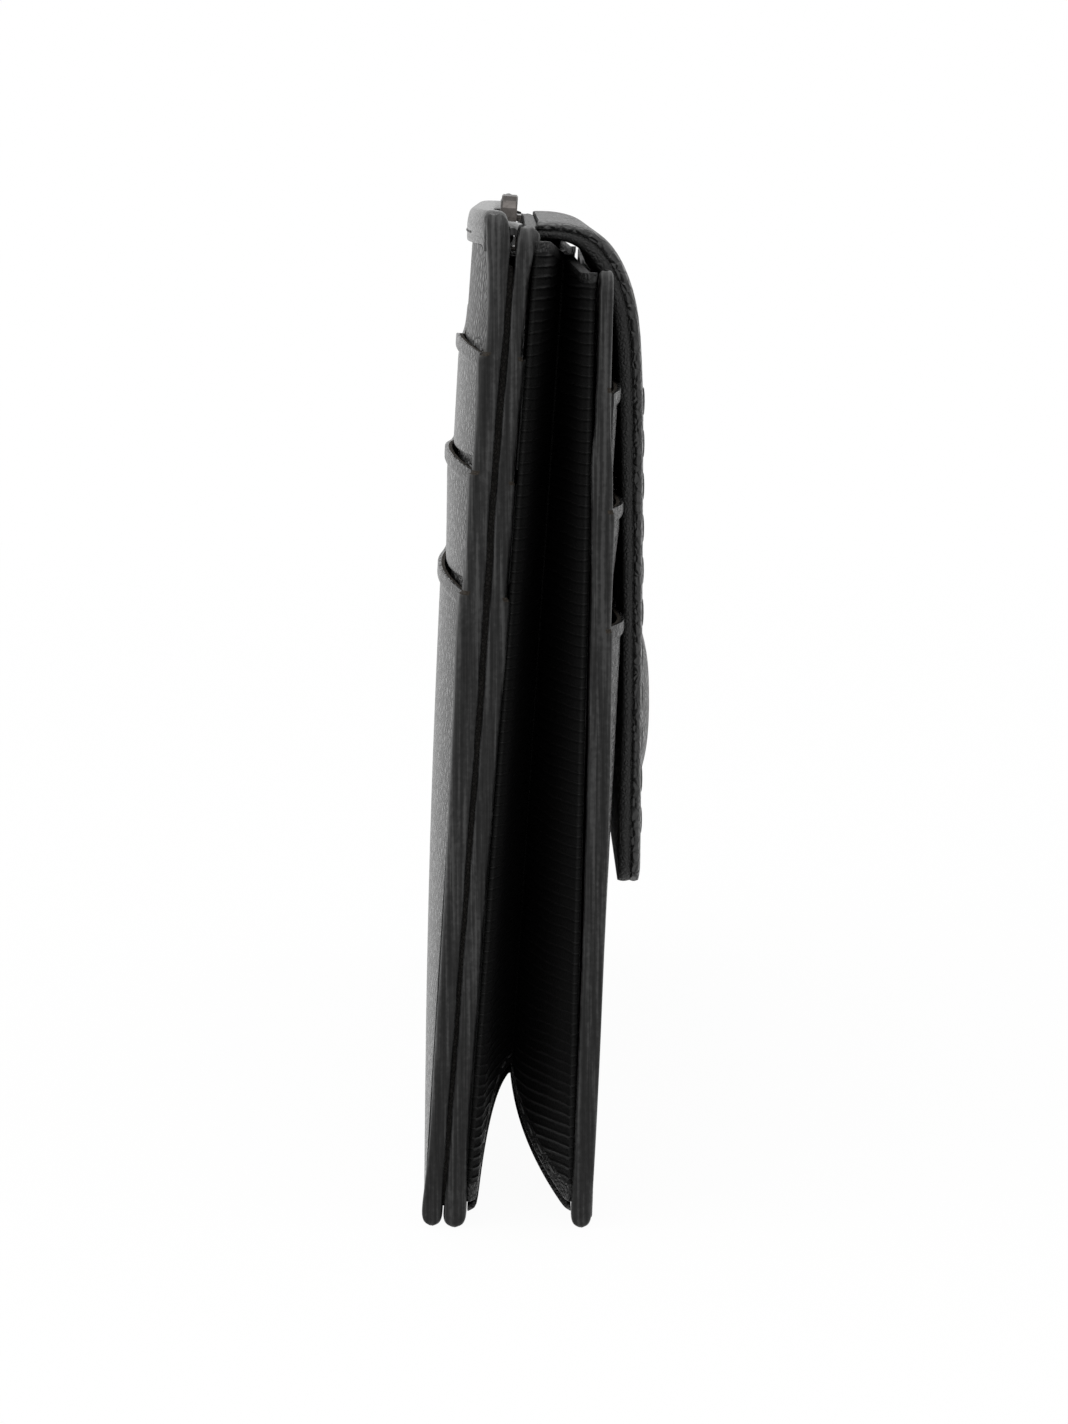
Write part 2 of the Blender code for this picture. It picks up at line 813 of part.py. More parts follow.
def make_front_wall(leather, pocket_leather):
    def front_middle(x, s):
        return -front_thickness / 2

    wall_panel("front_panel", front_height, front_middle, front_thickness, leather, front_frame)
    on_front = (front_surface, -1, half_width, leaf_lift)
    pocket_stack("front_slot", front_mouths, on_front, pocket_leather, front_frame)
    columns = wall_columns(half_width - slip_margin)
    rows = even_steps(slip_foot, slip_mouth - leaf_lip, leaf_rows) + [slip_mouth]

    def place(x, s):
        lip = max(0.0, (s - slip_mouth + leaf_lip) / leaf_lip)
        stand = leaf_gape * lip * spread(x)
        return Vector((x, seam_gap + leaf_thickness / 2 + stand, s))

    make_sheet("front_slip_pocket", columns, rows, place, leaf_thickness, pocket_leather, front_frame)


def flap_outline():
    # The outer face of the flap in side view: a rounded shoulder, then a drop that tucks in at its end.
    rise = flap_top_z - flap_shoulder_z
    power = 2 / flap_curve_power
    points = [Vector((flap_root_y, flap_top_z))]
    for step in range(shoulder_segments + 1):
        turn = math.pi / 2 * step / shoulder_segments
        y = flap_crest_y - flap_shoulder_depth * math.sin(turn) ** power
        z = flap_shoulder_z + rise * math.cos(turn) ** power
        points.append(Vector((y, z)))
    stations = [stud_z + bulge_radius * share for share in bulge_station_shares]
    stations += [flap_end_z + flap_corner_radius * corner_station_share, flap_end_z]
    points += [Vector((flap_face(z), z)) for z in stations]
    return points


def flap_face(z):
    # The flap's outer face on its drop, before the bulge of the press stud.
    share = (flap_shoulder_z - z) / (flap_shoulder_z - flap_end_z)
    return flap_front_y + flap_tuck_in * share ** 3


def bulge_share(distance):
    return math.exp(-(distance / bulge_radius) ** bulge_power)


def outward_normals(points):
    normals = []
    for index, point in enumerate(points):
        before = points[max(0, index - 1)]
        after = points[min(len(points) - 1, index + 1)]
        along = (after - before).normalized()
        normals.append(Vector((along.y, -along.x)))
    return normals


def flap_layer(name, depth, thickness, bulge, material, inset=False):
    # One layer of the flap, at a depth under its outer face. An inset layer stops short of the edges.
    points = flap_outline()
    normals = outward_normals(points)
    columns = mirrored(flap_column_shares)
    rows = list(range(len(points)))

    def keep(left, right, low, high):
        inside = left >= -stiffener_width_share and right <= stiffener_width_share
        return not inset or (inside and low > 0 and high < rows[-1])

    def place(share, row):
        point = points[row]
        normal = normals[row]
        into_corner = max(0.0, min(flap_corner_radius, flap_corner_radius - (point.y - flap_end_z)))
        round_off = flap_corner_radius - math.sqrt(flap_corner_radius ** 2 - into_corner ** 2)
        x = share * (flap_half_width - round_off)
        out = bulge * bulge_share(math.hypot(x, point.y - stud_z))
        middle = depth + thickness / 2
        return Vector((x, point.x - normal.x * (middle - out), point.y - normal.y * (middle - out)))

    sheet = make_sheet(name, columns, rows, place, thickness, material, flap_frame, keep)
    sheet.location = (0.0, -flap_hinge_y, -flap_hinge_z)


def make_flap(leather, lining_leather, board):
    flap_layer("flap_cover", 0.0, cover_thickness, cover_bulge, leather)
    stiffener_depth = cover_thickness + layer_gap
    flap_layer("flap_stiffener", stiffener_depth, stiffener_thickness, lining_bulge, board, inset=True)
    lining_depth = stiffener_depth + stiffener_thickness + layer_gap
    flap_layer("flap_lining", lining_depth, lining_thickness, lining_bulge, lining_leather)


def make_snap(metal):
    # The press stud: cap and socket in the flap, stud on the front wall's lowest pocket leaf.
    hinge = Vector((0.0, flap_hinge_y, flap_hinge_z))
    face = flap_face(stud_z)
    cap_front = face - cover_bulge * bulge_share(cap_radius) + cover_thickness + clear_gap
    cap_profile = [(0.0, cap_thickness), (cap_radius, cap_thickness), (cap_radius, 0.0), (0.0, 0.0)]
    turned("snap_cap", cap_profile, Vector((0.0, cap_front, stud_z)) - hinge, metal, flap_frame)

    layers = cover_thickness + stiffener_thickness + lining_thickness + 2 * layer_gap
    socket_front = face - lining_bulge * bulge_share(socket_radius) + layers + seam_gap
    ring = [
        (socket_bore, 0.0),
        (socket_bore, socket_thickness),
        (socket_radius, socket_thickness),
        (socket_radius, 0.0),
        (socket_bore, 0.0),
    ]
    turned("snap_socket", ring, Vector((0.0, socket_front, stud_z)) - hinge, metal, flap_frame)

    stud_profile = [
        (0.0, 0.0),
        (stud_radius, 0.0),
        (stud_radius, -stud_base_thickness),
        (stud_nose_radius, -stud_base_thickness),
        (stud_nose_radius, -stud_base_thickness - stud_nose_length),
        (0.0, -stud_base_thickness - stud_nose_length),
    ]
    turned("snap_stud", stud_profile, Vector((0.0, stud_seat_y, stud_seat_z)), metal, front_frame)


def build():
    global rear_frame, front_frame, zip_frame, pull_frame, flap_frame, solids, cutters
    clear_scene()
    solids = bpy.data.collections.new("card_holder")
    cutters = bpy.data.collections.new("cutters")
    bpy.context.scene.collection.children.link(solids)
    bpy.context.scene.collection.children.link(cutters)

    leather = make_material("black_leather", (0.025, 0.025, 0.027), 0.5)
    pocket_leather = make_material("pocket_leather", (0.03, 0.03, 0.032), 0.55)
    lining_leather = make_material("lining_leather", (0.05, 0.05, 0.052), 0.6)
    ribbed_cloth = make_material("ribbed_cloth", (0.02, 0.02, 0.02), 0.75)
    board = make_material("board", (0.18, 0.15, 0.11), 0.9)
    coil = make_material("coil", (0.03, 0.03, 0.03), 0.4)
    zip_metal = make_material("zip_metal", (0.30, 0.24, 0.13), 0.3, 1.0)
    snap_metal = make_material("snap_metal", (0.45, 0.43, 0.38), 0.3, 1.0)

    floor_size = (holder_width * 2, holder_width * 2, overrun)
    make_cutter("floor_cutter", floor_size, (0.0, 0.0, -overrun / 2))

    rear_frame = make_frame("rear_frame", (0.0, rear_foot_y, 0.0), rear_lean)
    front_frame = make_frame("front_hinge", (0.0, front_foot_y, 0.0), front_lean)
    flap_frame = make_frame("flap_hinge", (0.0, flap_hinge_y, flap_hinge_z))
    slider_x = -half_width + chain_end_margin + slider_end_margin + slider_length / 2
    zip_frame = make_frame("zip_runner", (slider_x, zip_centre, chain_low), 0.0, rear_frame)
    slider_top = chain_height + seam_gap + slider_wall
    pull_place = (pull_offset, 0.0, slider_top + clear_gap + pull_thickness / 2)
    pull_frame = make_frame("pull_axis", pull_place, 0.0, zip_frame)

    make_rear_walls(leather, pocket_leather)
    make_rear_binding(leather)
    make_pocket_welt(lining_leather)
    make_zip_tapes(ribbed_cloth)
    make_zip_chain(coil)
    make_zip_slider(zip_metal)
    make_zip_pull(zip_metal)
    make_zip_ends(leather)
    make_gussets(ribbed_cloth, leather)
    make_front_wall(leather, pocket_leather)
    make_flap(leather, lining_leather, board)
    make_snap(snap_metal)


build()
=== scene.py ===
import math

import bmesh
import bpy
from mathutils import Matrix, Vector, noise


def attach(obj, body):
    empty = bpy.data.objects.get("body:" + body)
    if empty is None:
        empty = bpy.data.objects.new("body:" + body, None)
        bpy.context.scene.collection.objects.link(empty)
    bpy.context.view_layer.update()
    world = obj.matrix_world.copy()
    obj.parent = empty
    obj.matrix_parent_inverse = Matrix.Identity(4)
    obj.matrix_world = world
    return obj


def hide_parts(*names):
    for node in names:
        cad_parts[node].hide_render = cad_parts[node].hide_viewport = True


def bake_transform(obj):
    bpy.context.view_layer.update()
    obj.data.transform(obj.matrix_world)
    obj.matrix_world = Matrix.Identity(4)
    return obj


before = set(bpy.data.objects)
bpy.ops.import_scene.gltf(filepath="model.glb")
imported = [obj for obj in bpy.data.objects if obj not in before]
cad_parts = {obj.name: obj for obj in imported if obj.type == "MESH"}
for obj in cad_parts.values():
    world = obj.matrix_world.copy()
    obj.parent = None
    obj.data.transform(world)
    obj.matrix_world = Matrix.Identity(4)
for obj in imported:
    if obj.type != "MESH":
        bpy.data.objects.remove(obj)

print("stage: frame loaded,", len(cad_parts), "nodes")
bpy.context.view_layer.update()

# The holder as a whole. The walls lean, and lengths up a wall are measured along it.
holder = {
    "width": 0.105,
    "rearFootY": 0.0069,
    "frontFootY": -0.0025,
    "rearLean": math.radians(4.15),
    "frontLean": math.radians(1.3),
    "rearHeight": 0.0811,
    "cornerRadius": 0.0024,
    "seamGap": 0.00015,
    "groove": 0.00052,  # dark gap between the two rear walls at their sewn sides
    "zipMouth": 0.0033,
    "rearBowShare": 0.75,
    "bowPower": 9,
}
halfWidth = holder["width"] / 2
totalBow = holder["zipMouth"] - holder["groove"]
bodies = {"rear": "rear_wall", "front": "front_wall", "flap": "flap", "slider": "slider"}


def rearSpot(x, y, s):
    # From the rear walls' own frame to the room: s runs up the wall, y towards the rear.
    lean = holder["rearLean"]
    across = holder["rearFootY"] + y * math.cos(lean) - s * math.sin(lean)
    return Vector((x, across, y * math.sin(lean) + s * math.cos(lean)))


def frontSpot(x, y, s):
    lean = holder["frontLean"]
    across = holder["frontFootY"] + y * math.cos(lean) - s * math.sin(lean)
    return Vector((x, across, y * math.sin(lean) + s * math.cos(lean)))


def smoothShare(value, low, high):
    t = max(0.0, min(1.0, (value - low) / (high - low)))
    return t * t * (3 - 2 * t)


def spread(x):
    # 0 at the sewn sides and 1 between them.
    return 1 - min(1.0, abs(x) / halfWidth) ** holder["bowPower"]


def swell(s):
    # The two rear walls part more and more from the foot to the mouth.
    return 1 - (1 - max(0.0, min(1.0, s / holder["rearHeight"]))) ** 3


def rearBow(x, s):
    return totalBow * holder["rearBowShare"] * spread(x) * swell(s)


def innerBow(x, s):
    return -totalBow * (1 - holder["rearBowShare"]) * spread(x) * swell(s)


# Materials are procedural: colour, roughness and bump follow one pattern in Object coordinates.
def newMaterial(name, look):
    material = bpy.data.materials.new(name)
    material.use_nodes = True
    shader = material.node_tree.nodes["Principled BSDF"]
    if "shine" in look:
        shader.inputs["Specular IOR Level"].default_value = look["shine"]
    return material, material.node_tree, shader


def objectPlace(tree, scale=(1.0, 1.0, 1.0)):
    # Object coordinates, stretched by a Mapping node.
    coordinates = tree.nodes.new("ShaderNodeTexCoord")
    mapping = tree.nodes.new("ShaderNodeMapping")
    mapping.inputs["Scale"].default_value = scale
    tree.links.new(coordinates.outputs["Object"], mapping.inputs["Vector"])
    return mapping.outputs["Vector"]


def noiseNode(tree, place, scale, detail=3.0):
    texture = tree.nodes.new("ShaderNodeTexNoise")
    texture.inputs["Scale"].default_value = scale
    texture.inputs["Detail"].default_value = detail
    tree.links.new(place, texture.inputs["Vector"])
    return texture.outputs["Fac"]


def rampNode(tree, factor, stops):
    ramp = tree.nodes.new("ShaderNodeValToRGB")
    elements = ramp.color_ramp.elements
    while len(elements) < len(stops):
        elements.new(0.5)
    for element, (position, colour) in zip(elements, stops):
        element.position = position
        element.color = (*colour, 1.0)
    tree.links.new(factor, ramp.inputs["Fac"])
    return ramp.outputs["Color"]


def rangeNode(tree, value, source, target):
    # Maps the source range to the target range, both given as (low, high).
    change = tree.nodes.new("ShaderNodeMapRange")
    sockets = ("From Min", "From Max", "To Min", "To Max")
    for socket, number in zip(sockets, (*source, *target)):
        change.inputs[socket].default_value = number
    tree.links.new(value, change.inputs["Value"])
    return change.outputs["Result"]


def mathNode(tree, operation, *values):
    step = tree.nodes.new("ShaderNodeMath")
    step.operation = operation
    for socket, value in zip(step.inputs, values):
        if isinstance(value, (int, float)):
            socket.default_value = value
        else:
            tree.links.new(value, socket)
    return step.outputs["Value"]


def grey(level, warm=0.0):
    return (level * (1 + warm), level, level * (1 - warm))


def threeGreys(look):
    return [(0.0, grey(look["dark"])), (0.5, grey(look["middle"])), (1.0, grey(look["light"]))]


# How each kind of pattern turns into roughness (duller in its troughs, shinier on its crests) and into
# a bump. The depth is in metres, or in pebbles or ribs.
reliefs = {
    "pebbles": {"range": (0.0, 1.2), "duller": 0.14, "shinier": 0.05, "depth": 0.3},
    "edge": {"range": (0.4, 0.9), "duller": 0.10, "shinier": 0.06, "depth": 0.00016},
    "ribs": {"range": (0.0, 1.2), "duller": 0.10, "shinier": 0.10, "depth": 0.35},
    "twill": {"range": (0.0, 1.3), "duller": 0.08, "shinier": 0.08, "depth": 0.0001},
    "metal": {"range": (0.4, 1.1), "duller": 0.12, "shinier": 0.06, "depth": 0.00004},
    "thread": {"range": (0.2, 0.8), "duller": 0.10, "shinier": 0.10, "depth": 0.00006},
}


def finishShader(tree, shader, look, colour, pattern, kind, unit=1.0):
    relief = reliefs[kind]
    ends = (look["roughness"] + relief["duller"], look["roughness"] - relief["shinier"])
    bump = tree.nodes.new("ShaderNodeBump")
    bump.inputs["Distance"].default_value = relief["depth"] * unit
    bump.inputs["Strength"].default_value = look["bump"]
    tree.links.new(pattern, bump.inputs["Height"])
    tree.links.new(colour, shader.inputs["Base Color"])
    tree.links.new(rangeNode(tree, pattern, relief["range"], ends), shader.inputs["Roughness"])
    tree.links.new(bump.outputs["Normal"], shader.inputs["Normal"])


# Pebbled grain. Sizes are in pebbles, but for the slow unevenness, which is in metres.
pebbleGrain = {
    "wobble": 2.2,
    "wobbleReach": 0.6,
    "creaseWidth": 0.28,
    "fine": 0.3,
    "fineShare": 0.25,
    "slow": 0.012,
    "slowShare": 0.55,
    "colourRange": (0.15, 1.4),
    "middleStop": 0.45,
}


def pebbleLeather(name, look):
    # Cells with creases between them, over a slow unevenness of tone. The colour darkens into the
    # creases as painted shade; the lighter tops are wear.
    material, tree, shader = newMaterial(name, look)
    grain, pebble = pebbleGrain, look["pebble"]
    place = objectPlace(tree)
    wobble = tree.nodes.new("ShaderNodeTexNoise")
    wobble.inputs["Scale"].default_value = 1 / (pebble * grain["wobble"])
    tree.links.new(place, wobble.inputs["Vector"])
    shift = tree.nodes.new("ShaderNodeVectorMath")
    shift.operation = "MULTIPLY_ADD"
    shift.inputs[1].default_value = (pebble * grain["wobbleReach"],) * 3
    tree.links.new(wobble.outputs["Color"], shift.inputs[0])
    tree.links.new(place, shift.inputs[2])
    cells = tree.nodes.new("ShaderNodeTexVoronoi")
    cells.feature = "DISTANCE_TO_EDGE"
    cells.inputs["Scale"].default_value = 1 / pebble
    tree.links.new(shift.outputs["Vector"], cells.inputs["Vector"])
    pebbles = rangeNode(tree, cells.outputs["Distance"], (0.0, grain["creaseWidth"]), (0.0, 1.0))
    fine = noiseNode(tree, place, 1 / (pebble * grain["fine"]))
    slow = noiseNode(tree, place, 1 / grain["slow"])
    surface = mathNode(tree, "MULTIPLY_ADD", fine, grain["fineShare"], pebbles)
    shade = mathNode(tree, "MULTIPLY_ADD", slow, grain["slowShare"], pebbles)
    # Painted shade: the colour runs from the crease level, dark as shade in the creases, up to the
    # leather's own level on the tops.
    level, depth, warm = look["level"], look["creaseShadeLevel"], look["warm"]
    colour = rampNode(tree, rangeNode(tree, shade, grain["colourRange"], (0.0, 1.0)), [
        (0.0, grey(depth, warm)),
        (grain["middleStop"], grey((level + depth) / 2, warm)),
        (1.0, grey(level, warm))])
    finishShader(tree, shader, look, colour, surface, "pebbles", pebble)
    return material


def paintedEdge(name, look):
    # Edge paint over the cut layers: fine streaks along the edge, with small beads in the film. The
    # streaks' light and dark are partly the paint's own and partly painted reflection.
    material, tree, shader = newMaterial(name, look)
    streaksAndSheen = noiseNode(tree, objectPlace(tree, look["streaksAndSheen"]), 1.0, 4.0)
    beads = noiseNode(tree, objectPlace(tree), look["beads"], 2.0)
    film = mathNode(tree, "MULTIPLY_ADD", beads, look["beadShare"], streaksAndSheen)
    # Painted reflection: the wide range of light and dark along the streaks stands in for reflections,
    # over the paint's own streaks.
    colour = rampNode(tree, rangeNode(tree, film, look["colourRange"], (0.0, 1.0)), threeGreys(look))
    finishShader(tree, shader, look, colour, film, "edge")
    return material


def ribbedCloth(name, look):
    # Ribs run level round the gusset, over a fine weave. Thin light lines on the rib crests are painted
    # highlights, and the near-black colour is painted shade inside the compartment.
    material, tree, shader = newMaterial(name, look)
    place = objectPlace(tree)
    split = tree.nodes.new("ShaderNodeSeparateXYZ")
    tree.links.new(place, split.inputs["Vector"])
    drift = noiseNode(tree, place, look["drift"], 2.0)
    pitch = look["pitch"]
    height = mathNode(tree, "MULTIPLY_ADD", drift, pitch * look["driftShare"], split.outputs["Z"])
    turns = mathNode(tree, "MULTIPLY", height, 2 * math.pi / pitch)
    ribs = rangeNode(tree, mathNode(tree, "SINE", turns), (-1.0, 1.0), (0.0, 1.0))
    sharp = mathNode(tree, "POWER", ribs, look["sharpness"])
    weave = noiseNode(tree, place, look["weave"], 2.0)
    cloth = mathNode(tree, "MULTIPLY_ADD", weave, look["weaveShare"], sharp)
    # Painted highlights and shade: the ramp puts light lines on the rib crests and keeps the rest near
    # black.
    finishShader(tree, shader, look, rampNode(tree, cloth, threeGreys(look)), cloth, "ribs", pitch)
    return material


def twillTape(name, look):
    # Diagonal twill with some fuzz.
    material, tree, shader = newMaterial(name, look)
    twill = tree.nodes.new("ShaderNodeTexWave")
    twill.bands_direction = "DIAGONAL"
    twill.inputs["Scale"].default_value = 1.0
    twill.inputs["Distortion"].default_value = look["distortion"]
    place = objectPlace(tree, (1 / look["pitch"], 0.0, 1 / look["pitch"]))
    tree.links.new(place, twill.inputs["Vector"])
    fuzz = noiseNode(tree, objectPlace(tree), look["fuzz"], 2.0)
    cloth = mathNode(tree, "MULTIPLY_ADD", fuzz, look["fuzzShare"], twill.outputs["Fac"])
    colour = rampNode(tree, cloth, [(0.0, grey(look["dark"])), (1.0, grey(look["light"]))])
    finishShader(tree, shader, look, colour, cloth, "twill")
    return material


brushing = {"stretch": (400.0, 6000.0, 6000.0), "share": 0.5, "wear": 700.0}


def brushedMetal(name, look):
    material, tree, shader = newMaterial(name, look)
    shader.inputs["Metallic"].default_value = 1.0
    lines = noiseNode(tree, objectPlace(tree, brushing["stretch"]), 1.0)
    wear = noiseNode(tree, objectPlace(tree), brushing["wear"])
    worn = mathNode(tree, "MULTIPLY_ADD", lines, brushing["share"], wear)
    colour = rampNode(tree, rangeNode(tree, worn, reliefs["metal"]["range"], (0.0, 1.0)), [
        (0.0, look["dark"]), (1.0, look["light"])])
    finishShader(tree, shader, look, colour, worn, "metal")
    return material


threadTwist = 7000.0


def threadFinish(name, look):
    material, tree, shader = newMaterial(name, look)
    twist = noiseNode(tree, objectPlace(tree), threadTwist, 2.0)
    low, high = reliefs["thread"]["range"]
    colour = rampNode(tree, twist, [(low, grey(look["dark"])), (high, grey(look["light"]))])
    finishShader(tree, shader, look, colour, twist, "thread")
    return material


finishes = {
    # Each leather's crease level below is painted shade at the bottom of its creases.
    "leather": pebbleLeather("black_pebbled_leather", {
        "pebble": 0.00072, "level": 0.026, "creaseShadeLevel": 0.002, "warm": 0.0,
        "roughness": 0.32, "bump": 0.65, "shine": 0.48}),
    "pocket": pebbleLeather("pocket_pebbled_leather", {
        "pebble": 0.00060, "level": 0.022, "creaseShadeLevel": 0.003, "warm": 0.0,
        "roughness": 0.25, "bump": 0.32, "shine": 0.58}),
    "hem": pebbleLeather("hem_leather", {
        "pebble": 0.00040, "level": 0.020, "creaseShadeLevel": 0.012, "warm": 0.0,
        "roughness": 0.22, "bump": 0.10, "shine": 0.7}),
    "turnedEdge": pebbleLeather("turned_edge_leather", {
        "pebble": 0.00034, "level": 0.012, "creaseShadeLevel": 0.003, "warm": 0.0,
        "roughness": 0.46, "bump": 0.45, "shine": 0.38}),
    "lining": pebbleLeather("lining_leather", {
        "pebble": 0.00035, "level": 0.010, "creaseShadeLevel": 0.006, "warm": 0.02,
        "roughness": 0.55, "bump": 0.25, "shine": 0.35}),
    "gussetHem": pebbleLeather("gusset_hem_leather", {
        "pebble": 0.00045, "level": 0.014, "creaseShadeLevel": 0.002, "warm": 0.0,
        "roughness": 0.40, "bump": 0.6, "shine": 0.28}),
    "darkLining": pebbleLeather("dark_lining", {
        "pebble": 0.00030, "level": 0.010, "creaseShadeLevel": 0.002, "warm": 0.1,
        "roughness": 0.8, "bump": 0.4, "shine": 0.15}),
    "suede": pebbleLeather("brown_flesh_side", {
        "pebble": 0.00022, "level": 0.030, "creaseShadeLevel": 0.012, "warm": 0.22,
        "roughness": 0.82, "bump": 0.3, "shine": 0.2}),
    # The edge's wide spread from dark to light is partly painted reflection along the streaks.
    "edge": paintedEdge("painted_edge", {
        "streaksAndSheen": (350.0, 3600.0, 110.0), "beads": 2600.0, "beadShare": 0.3,
        "colourRange": (0.50, 0.80), "dark": 0.001, "middle": 0.009, "light": 0.034,
        "roughness": 0.42, "bump": 0.6, "shine": 0.26}),
    # The gusset cloth's levels, far darker than the black leather, are painted shade inside the
    # compartment; its light level gives the painted rib highlights.
    "ribs": ribbedCloth("ribbed_gusset_cloth", {
        "pitch": 0.00085, "sharpness": 5.0, "drift": 160.0, "driftShare": 0.7, "weave": 5200.0,
        "weaveShare": 0.3, "dark": 0.0008, "middle": 0.0012, "light": 0.006,
        "roughness": 0.6, "bump": 0.8, "shine": 0.14}),
    "tape": twillTape("zip_tape_twill", {
        "pitch": 0.0005, "distortion": 0.6, "fuzz": 3000.0, "fuzzShare": 0.4,
        "dark": 0.008, "light": 0.022, "roughness": 0.75, "bump": 0.5}),
    "coil": threadFinish("nylon_coil", {
        "dark": 0.012, "light": 0.022, "roughness": 0.35, "bump": 0.1}),
    "thread": threadFinish("black_thread", {
        "dark": 0.018, "light": 0.050, "roughness": 0.5, "bump": 0.5}),
    # The zip's metal is coloured near black as painted dark reflection; its brushing lines and wear are
    # its own marks.
    "zipMetal": brushedMetal("zip_metal_painted_dark", {
        "dark": (0.03, 0.028, 0.026), "light": (0.11, 0.10, 0.095), "roughness": 0.26, "bump": 0.2}),
    "snapMetal": brushedMetal("snap_nickel", {
        "dark": (0.42, 0.40, 0.36), "light": (0.62, 0.60, 0.55), "roughness": 0.26, "bump": 0.15}),
    "board": threadFinish("grey_board", {
        "dark": 0.10, "light": 0.16, "roughness": 0.85, "bump": 0.3}),
}
print("stage: materials made")


def addPiece(name, shape, materials):
    mesh = bpy.data.meshes.new(name)
    shape.to_mesh(mesh)
    shape.free()
    for material in materials:
        mesh.materials.append(finishes[material])
    mesh.shade_smooth()
    piece = bpy.data.objects.new(name, mesh)
    bpy.context.scene.collection.objects.link(piece)
    return piece


def roundOff(piece, levels):
    soft = piece.modifiers.new("soft", "SUBSURF")
    soft.levels = levels
    soft.render_levels = levels


def cutBlock(columns, rows, layers):
    # A cube cut into a lattice whose points sit at whole numbers.
    shape = bmesh.new()
    bmesh.ops.create_cube(shape, size=1.0)
    counts = [len(columns) - 1, len(rows) - 1, len(layers) - 1]
    bmesh.ops.translate(shape, vec=(0.5, 0.5, 0.5), verts=shape.verts)
    bmesh.ops.scale(shape, vec=counts, verts=shape.verts)
    for axis, count in enumerate(counts):
        direction = Vector([axis == 0, axis == 1, axis == 2])
        for step in range(1, count):
            everything = shape.verts[:] + shape.edges[:] + shape.faces[:]
            bmesh.ops.bisect_plane(
                shape, geom=everything, plane_co=direction * step, plane_no=direction)
    return shape


def sideOf(face):
    # Which side of the block a face is on: left, right, foot, top, outer or inner.
    normal = face.normal
    axis = max(range(3), key=lambda index: abs(normal[index]))
    return (("left", "right"), ("foot", "top"), ("outer", "inner"))[axis][normal[axis] > 0]


def buildBlock(name, columns, rows, layers, place, materials, choose=None, levels=1):
    # A closed sheet of leather or cloth: every point of the lattice goes where place() says.
    shape = cutBlock(columns, rows, layers)
    if choose:
        for face in shape.faces:
            middle = face.calc_center_median()
            layer = layers[min(int(middle.z), len(layers) - 1)]
            spot = (columns[int(middle.x)], rows[int(middle.y)], layer)
            face.material_index = choose(sideOf(face), *spot)
    for vert in shape.verts:
        column, row, layer = (round(value) for value in vert.co)
        vert.co = place(columns[column], rows[row], layers[layer])
    bmesh.ops.recalc_face_normals(shape, faces=shape.faces)
    piece = addPiece(name, shape, materials)
    if levels:
        roundOff(piece, levels)
    return piece


def bothSides(steps):
    return [-step for step in reversed(steps) if step > 0] + list(steps)


def evenSteps(low, high, count):
    return [low + (high - low) * step / count for step in range(count + 1)]


def dress(piece, body, slot, *nodes):
    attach(piece, body)
    if nodes:
        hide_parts(*nodes)
    return piece


def rimSide(side):
    return side in ("left", "right", "top", "foot")


# Columns across a wall, close together at the sewn sides so that the edges keep their shape.
wallReach = [0.0, 0.012, 0.022, 0.030, 0.036, 0.0405, 0.0440, 0.0468, 0.0490, 0.0505, 0.0515, 0.0521]
wallColumns = bothSides(wallReach)
wallShape = {
    "straight": 0.0440,  # the columns further out draw in at the rounded top corners
    "lastStep": 0.0008,  # room for the closer columns at the end of a narrower piece
    "underPaint": 0.0003,  # the leather ends this far inside its band of edge paint
    "footRow": 0.0003,
    "lowRow": 0.004,
    "highRowDrop": 0.006,
    "rows": 14,
    "cornerRows": 5,
    "cornerShare": 0.9,
    "cornerRise": 0.0017,  # beside the flap the front wall's corners stand higher than under it
    "cornerSpan": (0.0450, 0.0482),
    "cornerDepth": 0.012,
}


def drawIn(x, s, top):
    radius, straight = holder["cornerRadius"], wallShape["straight"]
    into = min(radius, max(0.0, s - (top - radius)))
    widest = halfWidth - radius + math.sqrt(radius * radius - into * into)
    if abs(x) <= straight:
        return x
    drawn = straight + (abs(x) - straight) * (widest - straight) / (halfWidth - straight)
    return math.copysign(drawn, x)


def cornerRise(x, s, top):
    # Only the front wall has it.
    if top > frontTop:
        return 0.0
    rise = wallShape["cornerRise"] * smoothShare(abs(x), *wallShape["cornerSpan"])
    return rise * smoothShare(s, top - wallShape["cornerDepth"], top)


def wallRows(top):
    radius, look = holder["cornerRadius"], wallShape
    rows = [look["footRow"]] + evenSteps(look["lowRow"], top - look["highRowDrop"], look["rows"])
    turns = evenSteps(0.0, math.pi / 2 * look["cornerShare"], look["cornerRows"])
    return rows + [top - radius * (1 - math.sin(turn)) for turn in turns]


def buildWall(name, top, spot, face, thickness):
    # The wall's leather. Its edge is covered by a band of paint, made apart.
    end = top - wallShape["underPaint"]

    def place(x, s, layer):
        return spot(drawIn(x, s, end), face(x, s) + thickness * layer, s + cornerRise(x, s, top))

    return buildBlock(name, wallColumns, wallRows(end), [0.0, 0.12, 0.88, 1.0], place, ["leather"])


rearWalls = {"innerDrop": 0.0006, "rearThickness": 0.0010, "innerThickness": 0.00115}
innerTop = holder["rearHeight"] - rearWalls["innerDrop"]
rearInnerFace = rearWalls["innerThickness"] + holder["groove"]
rearOuterFace = rearInnerFace + rearWalls["rearThickness"]


